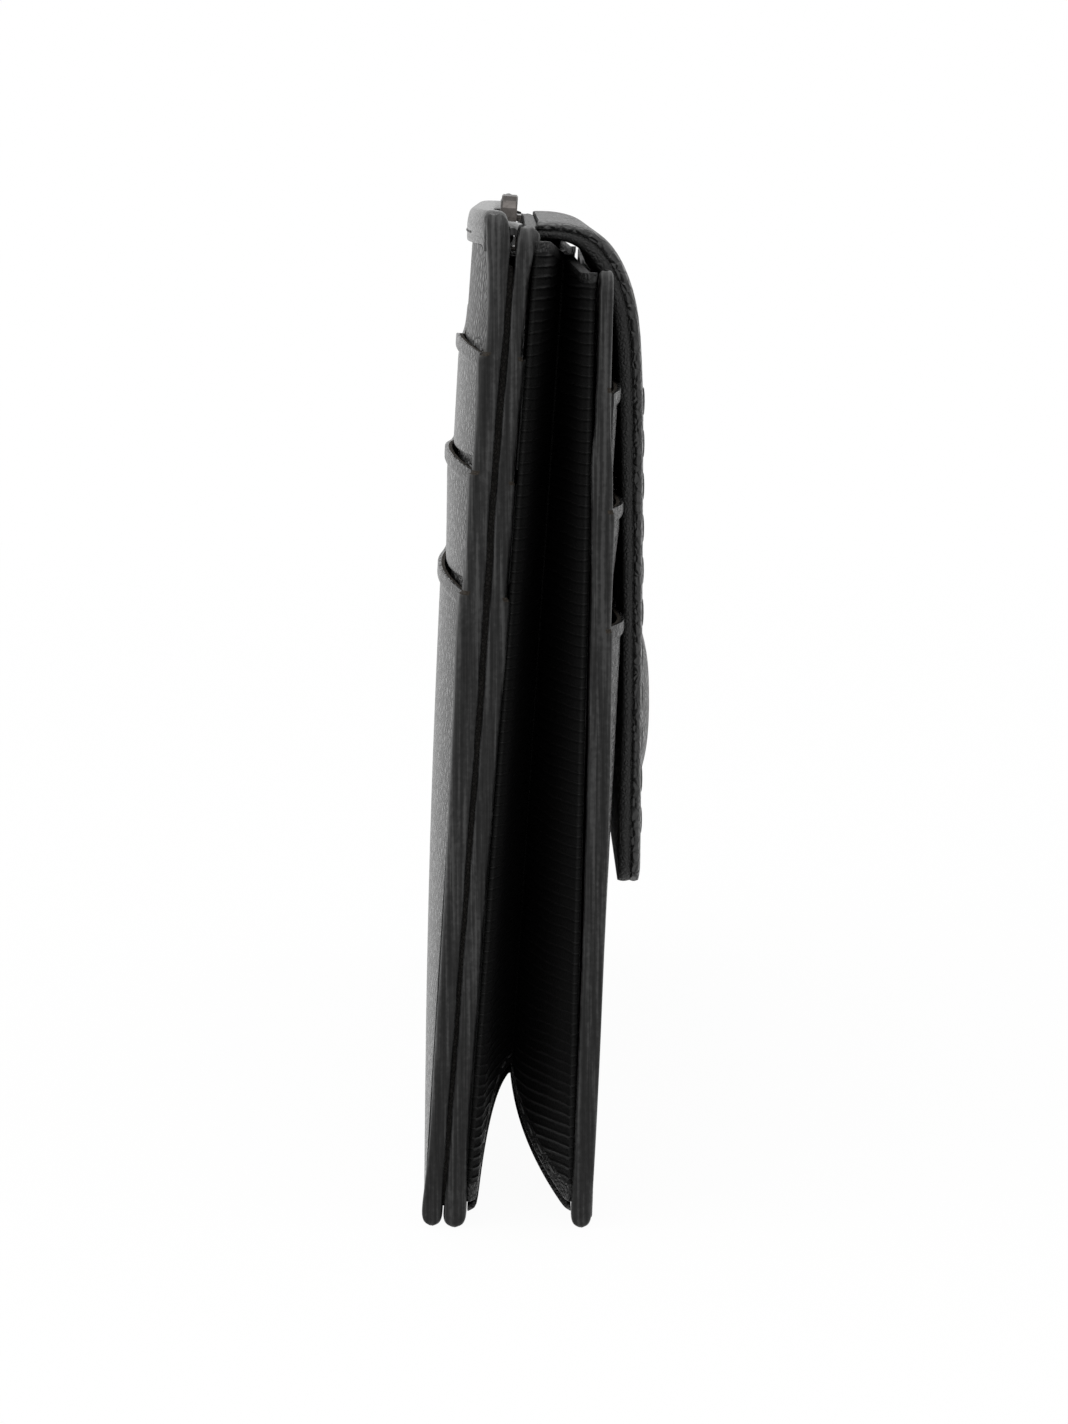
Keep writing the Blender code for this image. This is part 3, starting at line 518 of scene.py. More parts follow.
def makeRearWalls():
    def rearFace(x, s):
        return rearInnerFace + rearBow(x, s)

    walls = (
        ("inner_wall_leather", "inner_panel", innerTop, innerBow, rearWalls["innerThickness"]),
        ("rear_wall_leather", "rear_panel", holder["rearHeight"], rearFace, rearWalls["rearThickness"]))
    for name, node, top, face, thickness in walls:
        dress(buildWall(name, top, rearSpot, face, thickness), bodies["rear"], "black_leather", node)


frontWall = {"drop": 0.0058, "thickness": 0.0010}
frontTop = holder["rearHeight"] - frontWall["drop"]


def makeFrontWall():
    def frontFace(x, s):
        return -frontWall["thickness"]

    front = buildWall("front_wall_leather", frontTop, frontSpot, frontFace, frontWall["thickness"])
    dress(front, bodies["front"], "black_leather", "front_panel")


# Painted edges. One thick film rounds each wall's edge together with the pocket leaves sewn into it.
# Each row gives a height up the wall and the two faces of the film there, in millimetres. The film
# steps out at each pocket's mouth, where a brown ledge of raw leather shows.
bands = {
    "depths": [0.0, 0.00012, 0.0003, 0.0006, 0.0010, 0.0013],
    "layers": [0.0, 0.04, 0.1, 0.18, 0.26, 0.34, 0.42, 0.5, 0.58, 0.66, 0.74, 0.82, 0.9, 0.96, 1.0],
    "rear": {"ledge": (0.74, 1.0), "seed": 1.0, "mouths": (70.4, 61.1, 51.6), "faces": [
        (0.0, 1.46, 3.12), (1.8, 1.46, 3.16), (4.2, 1.54, 3.00), (6.5, 1.58, 2.88),
        (12.0, 1.48, 2.94), (18.7, 1.42, 2.95), (22.7, 1.45, 2.93), (30.8, 1.46, 3.01),
        (34.9, 1.44, 3.08), (38.1, 1.40, 3.20), (41.3, 1.42, 3.16), (44.6, 1.44, 3.28),
        (47.8, 1.46, 3.40), (51.45, 1.50, 3.44), (51.75, 1.50, 3.12), (54.3, 1.52, 3.06),
        (57.5, 1.56, 3.16), (60.95, 1.58, 3.30), (61.25, 1.58, 3.00), (63.2, 1.56, 3.02),
        (65.6, 1.54, 3.02), (68.8, 1.50, 3.16), (70.25, 1.48, 3.22), (70.55, 1.48, 2.72),
        (72.1, 1.45, 2.66), (75.3, 1.42, 2.74), (77.2, 1.40, 2.80), (78.3, 1.40, 3.14),
        (90.0, 1.40, 3.18)]},
    "inner": {"ledge": (0.0, 0.25), "seed": 5.0, "mouths": (70.2, 60.5, 51.3), "faces": [
        (0.0, -0.44, 1.42), (1.8, -0.46, 1.42), (4.0, -0.32, 1.36), (6.0, -0.20, 1.32),
        (10.6, -0.12, 1.32), (18.7, -0.15, 1.32), (26.8, -0.14, 1.28), (34.9, -0.24, 1.22),
        (41.3, -0.26, 1.20), (47.8, -0.40, 1.20), (51.15, -0.42, 1.22), (51.45, -0.12, 1.22),
        (52.6, -0.08, 1.20), (57.3, -0.10, 1.32), (60.35, -0.13, 1.34), (60.65, 0.04, 1.34),
        (63.5, 0.02, 1.30), (68.2, -0.12, 1.24), (70.05, -0.14, 1.22), (70.35, 0.08, 1.20),
        (75.0, 0.04, 1.18), (77.0, -0.02, 1.16), (78.6, -0.36, 1.15), (79.8, -0.62, 1.18),
        (90.0, -0.62, 1.22)]},
    "front": {"ledge": (0.0, 0.25), "seed": 9.0, "mouths": (67.2, 58.1, 48.7), "faces": [
        (0.0, -1.22, 0.42), (2.1, -1.27, 0.46), (6.5, -1.42, 0.28), (14.6, -1.60, 0.16),
        (22.7, -1.72, 0.02), (30.8, -1.84, 0.04), (38.1, -1.86, 0.0), (44.6, -1.74, 0.08),
        (48.55, -1.72, 0.12), (48.85, -1.58, 0.12), (51.8, -1.62, 0.10), (57.95, -1.66, 0.20),
        (58.25, -1.48, 0.20), (61.5, -1.42, 0.42), (63.85, -1.28, 0.46), (64.15, -1.18, 0.10),
        (67.05, -1.14, 0.08), (67.35, -1.10, 0.04), (75.0, -1.10, 0.0), (90.0, -1.10, 0.0)]},
}
# The film's own shape, in metres and as shares of its width.
film = {
    "rounding": 0.00040,
    "ridge": 0.00006,
    "ridgeTurns": 4.2,
    "drift": 0.9,
    "driftScale": 60,
    "sway": 2.0,
    "swayScale": 45,
    "swayStart": 2.6,
    "rimDepth": 0.0009,
    "sink": 0.00007,
    "sinkSpan": (0.0004, 0.0013),
    "footRadius": 0.0011,
    "footInset": 0.0005,
    "footWidth": 0.12,
    "lowest": 0.00003,
    "overHem": 0.00034,  # the rear wall's film covers the end of the hem
    "overHemSpan": (0.30, 0.96),
    "ledgeReach": 0.00009,
}


def bandFaces(kind, s):
    rows = bands[kind]["faces"]
    for (lowS, lowA, lowB), (highS, highA, highB) in zip(rows, rows[1:]):
        if s * 1000 <= highS:
            mix = (s * 1000 - lowS) / (highS - lowS)
            return (lowA + (highA - lowA) * mix) / 1000, (lowB + (highB - lowB) * mix) / 1000
    return rows[-1][1] / 1000, rows[-1][2] / 1000


def edgeStations(top, heights, topSteps):
    # Round a wall's edge from the near foot to the far one: place, height and the way the edge faces.
    radius = holder["cornerRadius"]
    straight = halfWidth - radius
    near = [(-halfWidth, s, -math.pi / 2) for s in heights if s < top - radius]
    for turn in evenSteps(-math.pi / 2, 0.0, 7)[:-1]:
        near.append((-straight + radius * math.sin(turn), top - radius + radius * math.cos(turn), turn))
    half = near + [(x, top, 0.0) for x in evenSteps(-straight, 0.0, topSteps)]
    return half + [(-x, s, -turn) for x, s, turn in reversed(half[:-1])]


def filmRidge(across, s, seed):
    # Fine ridges run along the film and sway a little.
    drift = film["drift"] * noise.noise(Vector((0.0, s * film["driftScale"], seed)))
    sway = film["sway"] * noise.noise(Vector((3.0, s * film["swayScale"], seed)))
    return math.cos(across * (film["ridgeTurns"] + drift) + sway + film["swayStart"])


def makeBand(name, kind, top, spot, bow, body, stations):
    look = bands[kind]
    ledges = [mouth / 1000 for mouth in look["mouths"]]

    def place(depth, station, layer):
        x, s, turn = station
        across = 2 * layer - 1
        low, high = bandFaces(kind, s)
        onSide = abs(math.sin(turn))
        if kind == "inner":
            low -= low * (1 - smoothShare(onSide, 0.0, 0.5))  # its flare dies out along the top
        pull = film["rounding"] * (1 - (1 - abs(across) ** 2.5) ** 0.4)
        pull -= film["ridge"] * filmRidge(across, s, look["seed"]) * (1 - across ** 4)
        inward = depth + pull * (1 - smoothShare(depth, 0.0, film["rimDepth"]))
        sink = film["sink"] * smoothShare(depth, *film["sinkSpan"])
        foot = math.sqrt(max(0.0, 1 - (1 - min(1.0, s / film["footRadius"])) ** 2))
        middle, half = (low + high) / 2, (high - low) / 2 - sink
        half *= film["footWidth"] + (1 - film["footWidth"]) * foot
        inward += film["footInset"] * (1 - foot)
        if kind == "rear":
            inward -= film["overHem"] * (1 - smoothShare(onSide, *film["overHemSpan"]))
        s += cornerRise(x, s, top)
        x -= inward * math.sin(turn)
        s = max(film["lowest"], s - inward * math.cos(turn))
        return spot(x, bow(x, s) + middle + across * half, s)

    def choose(side, depth, station, layer):
        onLedge = any(abs(station[1] - ledge) < film["ledgeReach"] for ledge in ledges)
        atSide = abs(station[2]) > 1.5
        low, high = look["ledge"]
        return 1 if onLedge and atSide and low <= layer <= high else 0

    materials = ["edge", "suede"]
    piece = buildBlock(name, bands["depths"], stations, bands["layers"], place, materials, choose)
    return dress(piece, body, "black_leather")


def bandHeights(kind, top):
    heights = [0.0001, 0.00025, 0.0005, 0.0009, 0.0015, 0.0024, 0.004]
    heights += evenSteps(0.007, top - 0.0035, 26)
    for mouth in bands[kind]["mouths"]:
        heights += [(mouth + step) / 1000 for step in (-1.2, -0.5, -0.2, -0.08, 0.08, 0.2, 0.6)]
    spaced = [0.0]
    for s in sorted(heights):
        if s - spaced[-1] > 0.00011:
            spaced.append(s)
    return spaced


def makeBands():
    # The rear wall's band ends at the hem, so there it is two pieces.
    rearTop = holder["rearHeight"]
    stations = edgeStations(rearTop, bandHeights("rear", rearTop), 8)
    near = [station for station in stations if station[2] < -0.1]
    far = [station for station in stations if station[2] > 0.1]
    for name, part in (("rear_painted_edge_near", near), ("rear_painted_edge_far", far)):
        makeBand(name, "rear", rearTop, rearSpot, rearBow, bodies["rear"], part)
    stations = edgeStations(innerTop, bandHeights("inner", innerTop), 8)
    makeBand("inner_painted_edge", "inner", innerTop, rearSpot, innerBow, bodies["rear"], stations)
    stations = edgeStations(frontTop, bandHeights("front", frontTop), 14)
    makeBand("front_painted_edge", "front", frontTop, frontSpot, lambda x, s: 0.0,
             bodies["front"], stations)


# The welt: a lining strip between the two rear walls along the sides and the foot. It closes the
# groove between them.
welt = {
    "inset": 0.00042,
    "width": 0.0034,
    "foot": 0.0012,
    "topDrop": 0.0030,
    "thickness": 0.0002,
    "cornerRadius": 0.001,
    "overlap": 0.00006,
    "fillSpan": (0.0008, 0.0016),
    "rough": 0.00012,
}


def makeWelt():
    look, radius = welt, welt["cornerRadius"]
    heights = evenSteps(look["foot"] + radius, innerTop - look["topDrop"], 16)
    near = [(-halfWidth, s, -math.pi / 2) for s in reversed(heights)]
    for turn in evenSteps(math.pi / 2, math.pi, 3)[1:-1]:
        near.append((-halfWidth + radius * (1 - math.sin(turn)),
                     look["foot"] + radius * (1 + math.cos(turn)), -turn))
    half = near + [(x, look["foot"], -math.pi) for x in evenSteps(-halfWidth + radius, 0.0, 8)]
    stations = half + [(-x, s, -turn) for x, s, turn in reversed(half[:-1])]

    def place(depth, station, layer):
        x, s, turn = station
        x -= depth * math.sin(turn)
        s -= depth * math.cos(turn)
        front = rearWalls["innerThickness"] + innerBow(x, s) - look["overlap"]
        rear = rearInnerFace + rearBow(x, s) + look["overlap"]
        fill = 1 - smoothShare(depth, *look["fillSpan"])
        middle = (front + rear) / 2
        half = look["thickness"] / 2 * (1 - fill) + (rear - front) / 2 * fill
        if depth <= look["inset"]:
            rough = look["rough"] * noise.noise(Vector((x * 900, s * 1400, layer * 3)))
            x -= rough * math.copysign(1.0, x)
        return rearSpot(x, middle + half * (2 * layer - 1), s)

    depths = [look["inset"], 0.0006, 0.0009, 0.0012, 0.0016, 0.0024, look["width"]]
    piece = buildBlock(
        "pocket_welt_lining", depths, stations, [0.0, 0.5, 1.0], place, ["darkLining"])
    dress(piece, bodies["rear"], "lining_leather", "pocket_welt")


# Card pockets. Each leaf stands off its wall at the mouth, where its edge is turned over into a lip.
pockets = {
    "thickness": 0.0003,
    "tuck": 0.0020,
    "tuckGap": 0.0003,
    "lipHeight": 0.0011,
    "lipThickness": 0.00062,
    "lipAtSeam": 0.15,
    "crease": 0.00009,
    "creaseWidth": 0.00022,
    "dip": 0.0009,
    "middleDip": 0.0014,
    "middleSpan": (0.006, 0.040),
    "foot": 0.0008,
    "settled": 0.3,  # towards the middle a leaf lies closer to its wall again
    "settledFrom": 0.040,
    "settledWidth": 0.016,
    "waver": 0.00008,
    "rear": {"drops": (0.0098, 0.0190, 0.0286), "lifts": (0.0001, 0.00045, 0.00045),
             "reach": halfWidth - 0.0008},
    "inner": {"drops": (0.0101, 0.0199, 0.0290), "lifts": (0.0001, 0.00045, 0.00045),
              "reach": halfWidth - 0.0010},
    "front": {"drops": (0.0130, 0.0221, 0.0315), "lifts": (0.0004, 0.0009, 0.00124),
              "reach": halfWidth - 0.0008},
}
# Beside the flap a front leaf bows out just inside its seam; under the flap it is held down.
besideFlap = {"seam": (0.0003, 0.0028), "held": 0.30, "loose": 0.18, "bow": 0.52,
              "bowPlace": 0.0478, "bowWidth": 0.0038}


def wallSteps(reach, ends):
    # Columns as on the walls, up to the piece's own reach and its last few columns there.
    inside = [step for step in wallReach if step < reach - wallShape["lastStep"]]
    return bothSides(inside + [reach - end for end in ends])


def buildLeaf(name, mouth, tail, lift, reach, spot, surface, side, beside):
    look, lip = pockets, pockets["lipHeight"]
    shoulder = tail + look["tuck"] + look["tuckGap"] if tail > look["foot"] else tail
    rows = evenSteps(shoulder, mouth - lip * 2.4, 6)
    rows += [mouth - lip * share for share in (1.8, 1.45, 1.25, 1.12, 1.0, 0.8, 0.5, 0.22, 0.07, 0.0)]
    power = 1.1 if beside else 1.4

    def heldOff(x):
        loose = spread(x)
        if not beside:
            away = (abs(x) - look["settledFrom"]) / look["settledWidth"]
            return loose * (look["settled"] + (1 - look["settled"]) * math.exp(-away ** 2))
        away = (abs(x) - besideFlap["bowPlace"]) / besideFlap["bowWidth"]
        bowed = besideFlap["held"] + besideFlap["loose"] * loose
        bowed += besideFlap["bow"] * math.exp(-away ** 2)
        return smoothShare(reach - abs(x), *besideFlap["seam"]) * bowed

    def place(x, s, layer):
        loose, held = spread(x), heldOff(x)
        rise = max(0.0, min(1.0, (s - tail) / (mouth - look["tuck"] - tail)))
        stand = lift * rise ** power * held
        turned = smoothShare(s, mouth - lip * 1.25, mouth - lip * 0.9)
        crease = look["crease"] * math.exp(-((s - mouth + lip * 1.2) / look["creaseWidth"]) ** 2)
        full = look["lipAtSeam"] + (1 - look["lipAtSeam"]) * held
        extra = (look["lipThickness"] - look["thickness"]) * turned * full
        gap = holder["seamGap"] * (0.05 + 0.95 * loose)
        middle = gap + look["thickness"] / 2 + stand + extra * 0.5
        out = middle + (look["thickness"] + extra - crease * loose) * (0.5 - layer)
        out += look["waver"] * noise.noise(Vector((x * 140, mouth * 900, 0.0))) * loose
        dip = look["dip"] * (1 - loose)
        dip += look["middleDip"] * (1 - smoothShare(abs(x), *look["middleSpan"]))
        dip *= max(0.0, (s - shoulder) / (mouth - shoulder))
        return spot(x, surface(x, s) + side * out, s - dip)

    def choose(where, x, s, layer):
        if where in ("left", "right"):
            return 1
        return 2 if where == "inner" or (where == "top" and layer >= 0.5) else 0

    return buildBlock(name, wallSteps(reach, (0.0006, 0.0002, 0.0)), rows, [0.0, 0.12, 0.5, 0.88, 1.0],
                      place, ["pocket", "edge", "suede"], choose)


def makePocketStack(kind, body, spot, surface, side):
    look = pockets[kind]
    mouths = [holder["rearHeight"] - drop for drop in look["drops"]]
    tails = [mouth - pockets["tuck"] for mouth in mouths[1:]] + [pockets["foot"]]
    for place, mouth, tail, lift in zip(("upper", "middle", "lower"), mouths, tails, look["lifts"]):
        leaf = buildLeaf(f"{kind}_pocket_{place}", mouth, tail, lift, look["reach"], spot, surface,
                         side, kind == "front")
        dress(leaf, body, "pocket_leather", f"{kind}_slot_{place}")


def makePockets():
    makePocketStack("rear", bodies["rear"], rearSpot, lambda x, s: rearOuterFace + rearBow(x, s), 1)
    makePocketStack("inner", bodies["rear"], rearSpot, innerBow, -1)
    makePocketStack("front", bodies["front"], frontSpot, lambda x, s: -frontWall["thickness"], -1)


slipPocket = {
    "drop": 0.0171,
    "foot": 0.0040,
    "sideInset": 0.0015,
    "lip": 0.0022,
    "lipStand": 0.00025,
    "lastRows": 0.003,
}


def makeSlipPocket():
    look = slipPocket
    mouth, reach = holder["rearHeight"] - look["drop"], halfWidth - look["sideInset"]
    rows = evenSteps(look["foot"], mouth - look["lastRows"], 10)
    rows += [mouth - step for step in (0.002, 0.0012, 0.0006, 0.0002, 0.0)]

    def place(x, s, layer):
        lip = max(0.0, (s - mouth + look["lip"]) / look["lip"])
        stand = look["lipStand"] * lip * spread(x)
        return frontSpot(x, holder["seamGap"] + stand + pockets["thickness"] * layer, s)

    piece = buildBlock(
        "slip_pocket_leather", wallSteps(reach, (0.0004, 0.0)), rows, [0.0, 0.15, 0.85, 1.0], place,
        ["pocket", "edge"], lambda where, x, s, layer: 1 if rimSide(where) else 0)
    dress(piece, bodies["front"], "pocket_leather", "front_slip_pocket")


# The hem folded over the rear wall's top edge follows it round both corners. Stitches run in a shallow
# groove below the top.
hem = {
    "thickness": 0.0003,
    "outerDrop": 0.0022,
    "innerDrop": 0.0004,
    "rise": 0.0002,
    "corner": 0.0003,
    "endInset": 0.0013,
    "endFall": 0.0003,
    "stitchDrop": 0.0014,
    "groove": 0.00008,
    "grooveWidth": 0.00018,
    "puff": 0.00010,
    "innerShare": 0.55,  # thinner inside, where the zip's pull passes
}


def makeHem():
    top, radius, thickness = holder["rearHeight"], holder["cornerRadius"], hem["thickness"]
    reach = halfWidth - hem["endInset"]
    columns = bothSides([step for step in wallReach if step < 0.0500] + [0.0502, 0.0506, 0.0510, reach])
    leg = rearWalls["rearThickness"] / 2 + holder["seamGap"]
    corner, rise = hem["corner"], hem["rise"]
    inner = [(-leg + corner * (1 - math.cos(turn)), rise - corner * (1 - math.sin(turn)),
              -math.cos(turn), math.sin(turn)) for turn in evenSteps(0.0, math.pi / 2, 4)]
    outer = [(-y, out, -outY, outUp) for y, out, outY, outUp in reversed(inner)]
    outerShares = (0.2, 0.4, 0.55, 0.65, 0.75, 0.88, 0.97, 1.0)
    path = [(-leg, -hem["innerDrop"], -1, 0)] + inner + [(0.0, rise, 0, 1)] + outer
    path += [(leg, -hem["outerDrop"] * share, 1, 0) for share in outerShares]

    def place(x, row, layer):
        into = max(0.0, abs(x) - (halfWidth - radius))
        s = top - radius + math.sqrt(radius * radius - into * into)
        s -= hem["endFall"] * smoothShare(abs(x), 0.0503, reach)
        y, out, outY, outUp = path[row]
        puff = 0.0
        if row >= len(path) - len(outerShares):
            puff = hem["puff"] * math.sin(math.pi * min(1.0, -out / hem["outerDrop"])) * layer
            away = (out + hem["stitchDrop"]) / hem["grooveWidth"]
            puff -= hem["groove"] * math.exp(-away ** 2) * layer
        thin = hem["innerShare"] + (1 - hem["innerShare"]) * smoothShare(row, 0, 6)
        y += outY * (thickness * thin * layer + puff)
        s += out + outUp * thickness * layer
        return rearSpot(x, rearInnerFace + rearWalls["rearThickness"] / 2 + rearBow(x, s) + y, s)

    rows = list(range(len(path)))
    piece = buildBlock("rear_hem_leather", columns, rows, [0.0, 0.2, 0.8, 1.0], place, ["hem"])
    dress(piece, bodies["rear"], "black_leather", "rear_binding")


# The zipped pocket between the rear walls.
zipped = {
    "tapeThickness": 0.00022,
    "tapeDepth": 0.011,
    "tapeMargin": 0.0068,
    "tapeGap": 0.00008,
    "turnGap": 0.0003,
    "chainHeight": 0.00105,
    "chainRise": 0.0011,
    "chainWidth": 0.00104,
    "chainMargin": 0.0095,
    "sliderWall": 0.00035,
    "coilTurns": 62,
    "filament": 0.00016,
    "coilApart": 0.00016,
    "forward": 0.00025,  # the zip lies nearer the inner wall
}
zipCentre = rearWalls["innerThickness"] - totalBow * (1 - holder["rearBowShare"])
zipCentre += holder["zipMouth"] / 2 - zipped["forward"]
chainLow = innerTop - zipped["chainRise"] - zipped["chainHeight"] / 2


def makeTape(name, node, side):
    # A tape hangs against its wall, turns in under the slider and rises to the coil.
    look = zipped
    thickness = look["tapeThickness"]
    run = chainLow - holder["seamGap"] - look["sliderWall"] - look["turnGap"] - thickness / 2
    end = chainLow - holder["seamGap"]
    reach = halfWidth - look["tapeMargin"]

    def wallFace(x, s):
        face = rearInnerFace + rearBow(x, s)
        if side < 0:
            face = rearWalls["innerThickness"] + innerBow(x, s)
        return face - side * (holder["seamGap"] + thickness / 2)

    def path(x):
        inside = zipCentre + side * (thickness + look["tapeGap"]) / 2
        hang = [(wallFace(x, s), s) for s in evenSteps(run - look["tapeDepth"], run - thickness, 6)]
        return hang + [
            (wallFace(x, run) - side * thickness, run),
            (inside + side * thickness, run),
            (inside, run + thickness),
            (inside, end),
        ]

    size = len(path(0.0))

    def place(x, row, layer):
        points = path(x)
        here = Vector(points[row])
        before, after = points[max(0, row - 1)], points[min(size - 1, row + 1)]
        along = (Vector(after) - Vector(before)).normalized()
        spot = here + Vector((-along.y, along.x)) * thickness * (layer - 0.5)
        return rearSpot(x, spot.x, spot.y)

    piece = buildBlock(
        name, wallSteps(reach, (0.0,)), list(range(size)), [0.0, 1.0], place, ["tape"], levels=0)
    dress(piece, bodies["rear"], "zip_tape", node)
    lengths = [(Vector(b) - Vector(a)).length for a, b in zip(path(0.0), path(0.0)[1:])]


def makeCoil():
    # Two interlocked spirals of nylon, one for each tape.
    look, radius = zipped, zipped["filament"]
    reach = halfWidth - look["chainMargin"] - radius
    halfHeight = look["chainHeight"] / 2 - radius
    steps = look["coilTurns"] * 8
    shape = bmesh.new()
    for side in (-1, 1):
        previous = None
        for step in range(steps + 1):
            share = step / steps
            turn = 2 * math.pi * look["coilTurns"] * share + (math.pi if side > 0 else 0.0)
            x = -reach + 2 * reach * share
            y = side * look["coilApart"]
            y += (look["chainWidth"] / 2 - radius - look["coilApart"]) * math.cos(turn)
            z = look["chainHeight"] / 2 + halfHeight * math.sin(turn)
            ring = bmesh.ops.create_circle(shape, segments=5, radius=radius)["verts"]
            spin = math.atan2(math.cos(turn) * halfHeight, -math.sin(turn) * look["chainWidth"] / 2)
            for vert in ring:
                flat, up = vert.co.x, vert.co.y
                vert.co = rearSpot(x + up, zipCentre + y - flat * math.sin(spin),
                                   chainLow + z + flat * math.cos(spin))
            loop = list({edge for vert in ring for edge in vert.link_edges})
            if previous:
                bmesh.ops.bridge_loops(shape, edges=previous + loop)
            previous = loop
    bmesh.ops.holes_fill(shape, edges=shape.edges[:], sides=5)
    bmesh.ops.recalc_face_normals(shape, faces=shape.faces)
    dress(addPiece("zip_chain_coil", shape, ["coil"]), bodies["rear"], "coil", "zip_chain")


# Leather tabs between the tops of the rear walls close the zip's ends.
zipTabs = {
    "length": 0.0070,
    "inset": 0.0010,
    "thickness": 0.0006,
    "sink": 0.00018,
    "arch": 0.0002,
    "frontGap": 0.00005,
    "rearGap": 0.0002,
}


def makeZipTab(name, node, side):
    look, radius = zipTabs, holder["cornerRadius"]
    start, end = halfWidth - look["length"], halfWidth - look["inset"]
    columns = [start, start + 0.0001] + evenSteps(start + 0.0005, end - 0.0003, 6) + [end - 0.0001, end]

    def place(x, share, layer):
        into = max(0.0, x - (halfWidth - radius))
        fallen = radius - math.sqrt(radius * radius - into * into)
        s = innerTop - look["sink"] - fallen + look["arch"] * (1 - (2 * share - 1) ** 2)
        front = rearWalls["innerThickness"] + innerBow(x, s) + look["frontGap"]
        rear = rearInnerFace + rearBow(x, s) - look["rearGap"]
        across = front + (rear - front) * share
        return rearSpot(side * x, across, s + look["thickness"] * (0.5 - layer))

    piece = buildBlock(
        name, columns, [0.0, 0.05, 0.2, 0.5, 0.8, 0.95, 1.0], [0.0, 0.15, 0.85, 1.0], place,
        ["hem", "edge"], lambda where, x, share, layer: 1 if rimSide(where) else 0)
    dress(piece, bodies["rear"], "black_leather", node)


# A domed strap over the slider's crown, between the two rails of the pull.
crownStrap = {
    "centre": (-0.0388, 0.0029),
    "length": 0.0019,
    "width": 0.00064,
    "top": 0.08285,
    "drop": 0.0012,
    "dome": 0.00055,
    "thickness": 0.00035,
}


def makeCrownStrap():
    look = crownStrap
    middleX, middleY = look["centre"]

    def place(along, across, layer):
        top = look["top"] - look["drop"] * abs(along) ** 3 - look["dome"] * across * across
        return Vector((middleX + look["length"] * along, middleY + look["width"] * across,
                       top - look["thickness"] * layer))

    piece = buildBlock("slider_crown_dome", evenSteps(-1.0, 1.0, 12), evenSteps(-1.0, 1.0, 8),
                       [0.0, 0.2, 0.8, 1.0], place, ["zipMetal"])
    dress(piece, bodies["slider"], "zip_metal")


# The gussets: ribbed cloth folded inwards like a V at both sides, and a pleat raised between the feet.
gusset = {
    "thickness": 0.0005,
    "depth": 0.012,
    "edgeInset": 0.0004,
    "edgeOffset": 0.00043,
    "footEdgeOffset": 0.00050,
    "legInset": 0.0013,
    "edgeShare": 0.1,
    "rearDrop": 0.0019,
    "frontDrop": 0.0043,
    "foot": 0.0014,
    "ridge": 0.0099,
    "ridgeShare": 0.5426,
    "rearOffsetTop": 0.0012,
    "rearOffsetFoot": 0.00105,
    "frontOffsetTop": 0.0011,
    "frontOffsetFoot": 0.0008,
    "rearArch": (0.36, 1.12),
    "frontArch": (0.92, 0.50),
    "foldRadius": 0.0004,
    "foldShare": 0.11,
    "footGap": 0.0003,
    "hemFrom": 0.988,  # shares of the rise, above and below which the cloth is bound in leather
    "hemFull": 0.992,
    "hemBelow": 0.018,
    "hemRoll": 0.00030,
    "stitchRise": 0.0135,
    "stitchReach": 0.042,
    "sideFlat": (0.0245, 0.0765),
    "footFlat": (0.1, 0.021),
    "blendHeight": 0.004,
    "blendReach": 0.0013,
}
gussetRidgeY = holder["frontFootY"]
gussetRidgeY += (holder["rearFootY"] - holder["frontFootY"]) * gusset["ridgeShare"]


def rearLine(z, offset):
    return holder["rearFootY"] - z * math.tan(holder["rearLean"]) - offset


def frontLine(z, offset):
    return holder["frontFootY"] - z * math.tan(holder["frontLean"]) + offset


def foldShape(turn):
    # How deep the fold runs in from the side, how far its leg has opened, and the place across its
    # roundness.
    apart = turn - 1
    legDepth = gusset["depth"] - gusset["foldRadius"]
    if abs(apart) <= gusset["foldShare"]:
        across = apart / gusset["foldShare"]
        return legDepth + gusset["foldRadius"] * math.sqrt(1 - across * across), 0.0, across
    opened = min(1.0, (abs(apart) - gusset["foldShare"]) / (1 - gusset["foldShare"]))
    depth = legDepth + (gusset["legInset"] - legDepth) * opened
    beyond = smoothShare(abs(apart), 1.0, 1.0 + gusset["edgeShare"])
    return depth + (gusset["edgeInset"] - depth) * beyond, opened, math.copysign(1.0, apart)


def mitrePoint(turn):
    look, z = gusset, gusset["foot"]
    beyond = smoothShare(abs(turn - 1), 1.0, 1.0 + look["edgeShare"])
    rearOffset = look["rearOffsetFoot"] + (look["footEdgeOffset"] - look["rearOffsetFoot"]) * beyond
    frontOffset = look["frontOffsetFoot"] + (look["edgeOffset"] - look["frontOffsetFoot"]) * beyond
    foot, (sideShare, riseShare), share = (
        (Vector((rearLine(z, rearOffset), z)), look["rearArch"], turn) if turn <= 1 else
        (Vector((frontLine(z, frontOffset), z)), look["frontArch"], 2 - turn))
    ridge = Vector((gussetRidgeY, look["ridge"]))
    share = max(0.0, share)
    control = Vector((foot.x + (ridge.x - foot.x) * sideShare, foot.y + (ridge.y - foot.y) * riseShare))
    rest = 1 - share
    point = foot * rest * rest + control * 2 * rest * share + ridge * share * share
    return foldShape(turn)[0], point.x, point.y


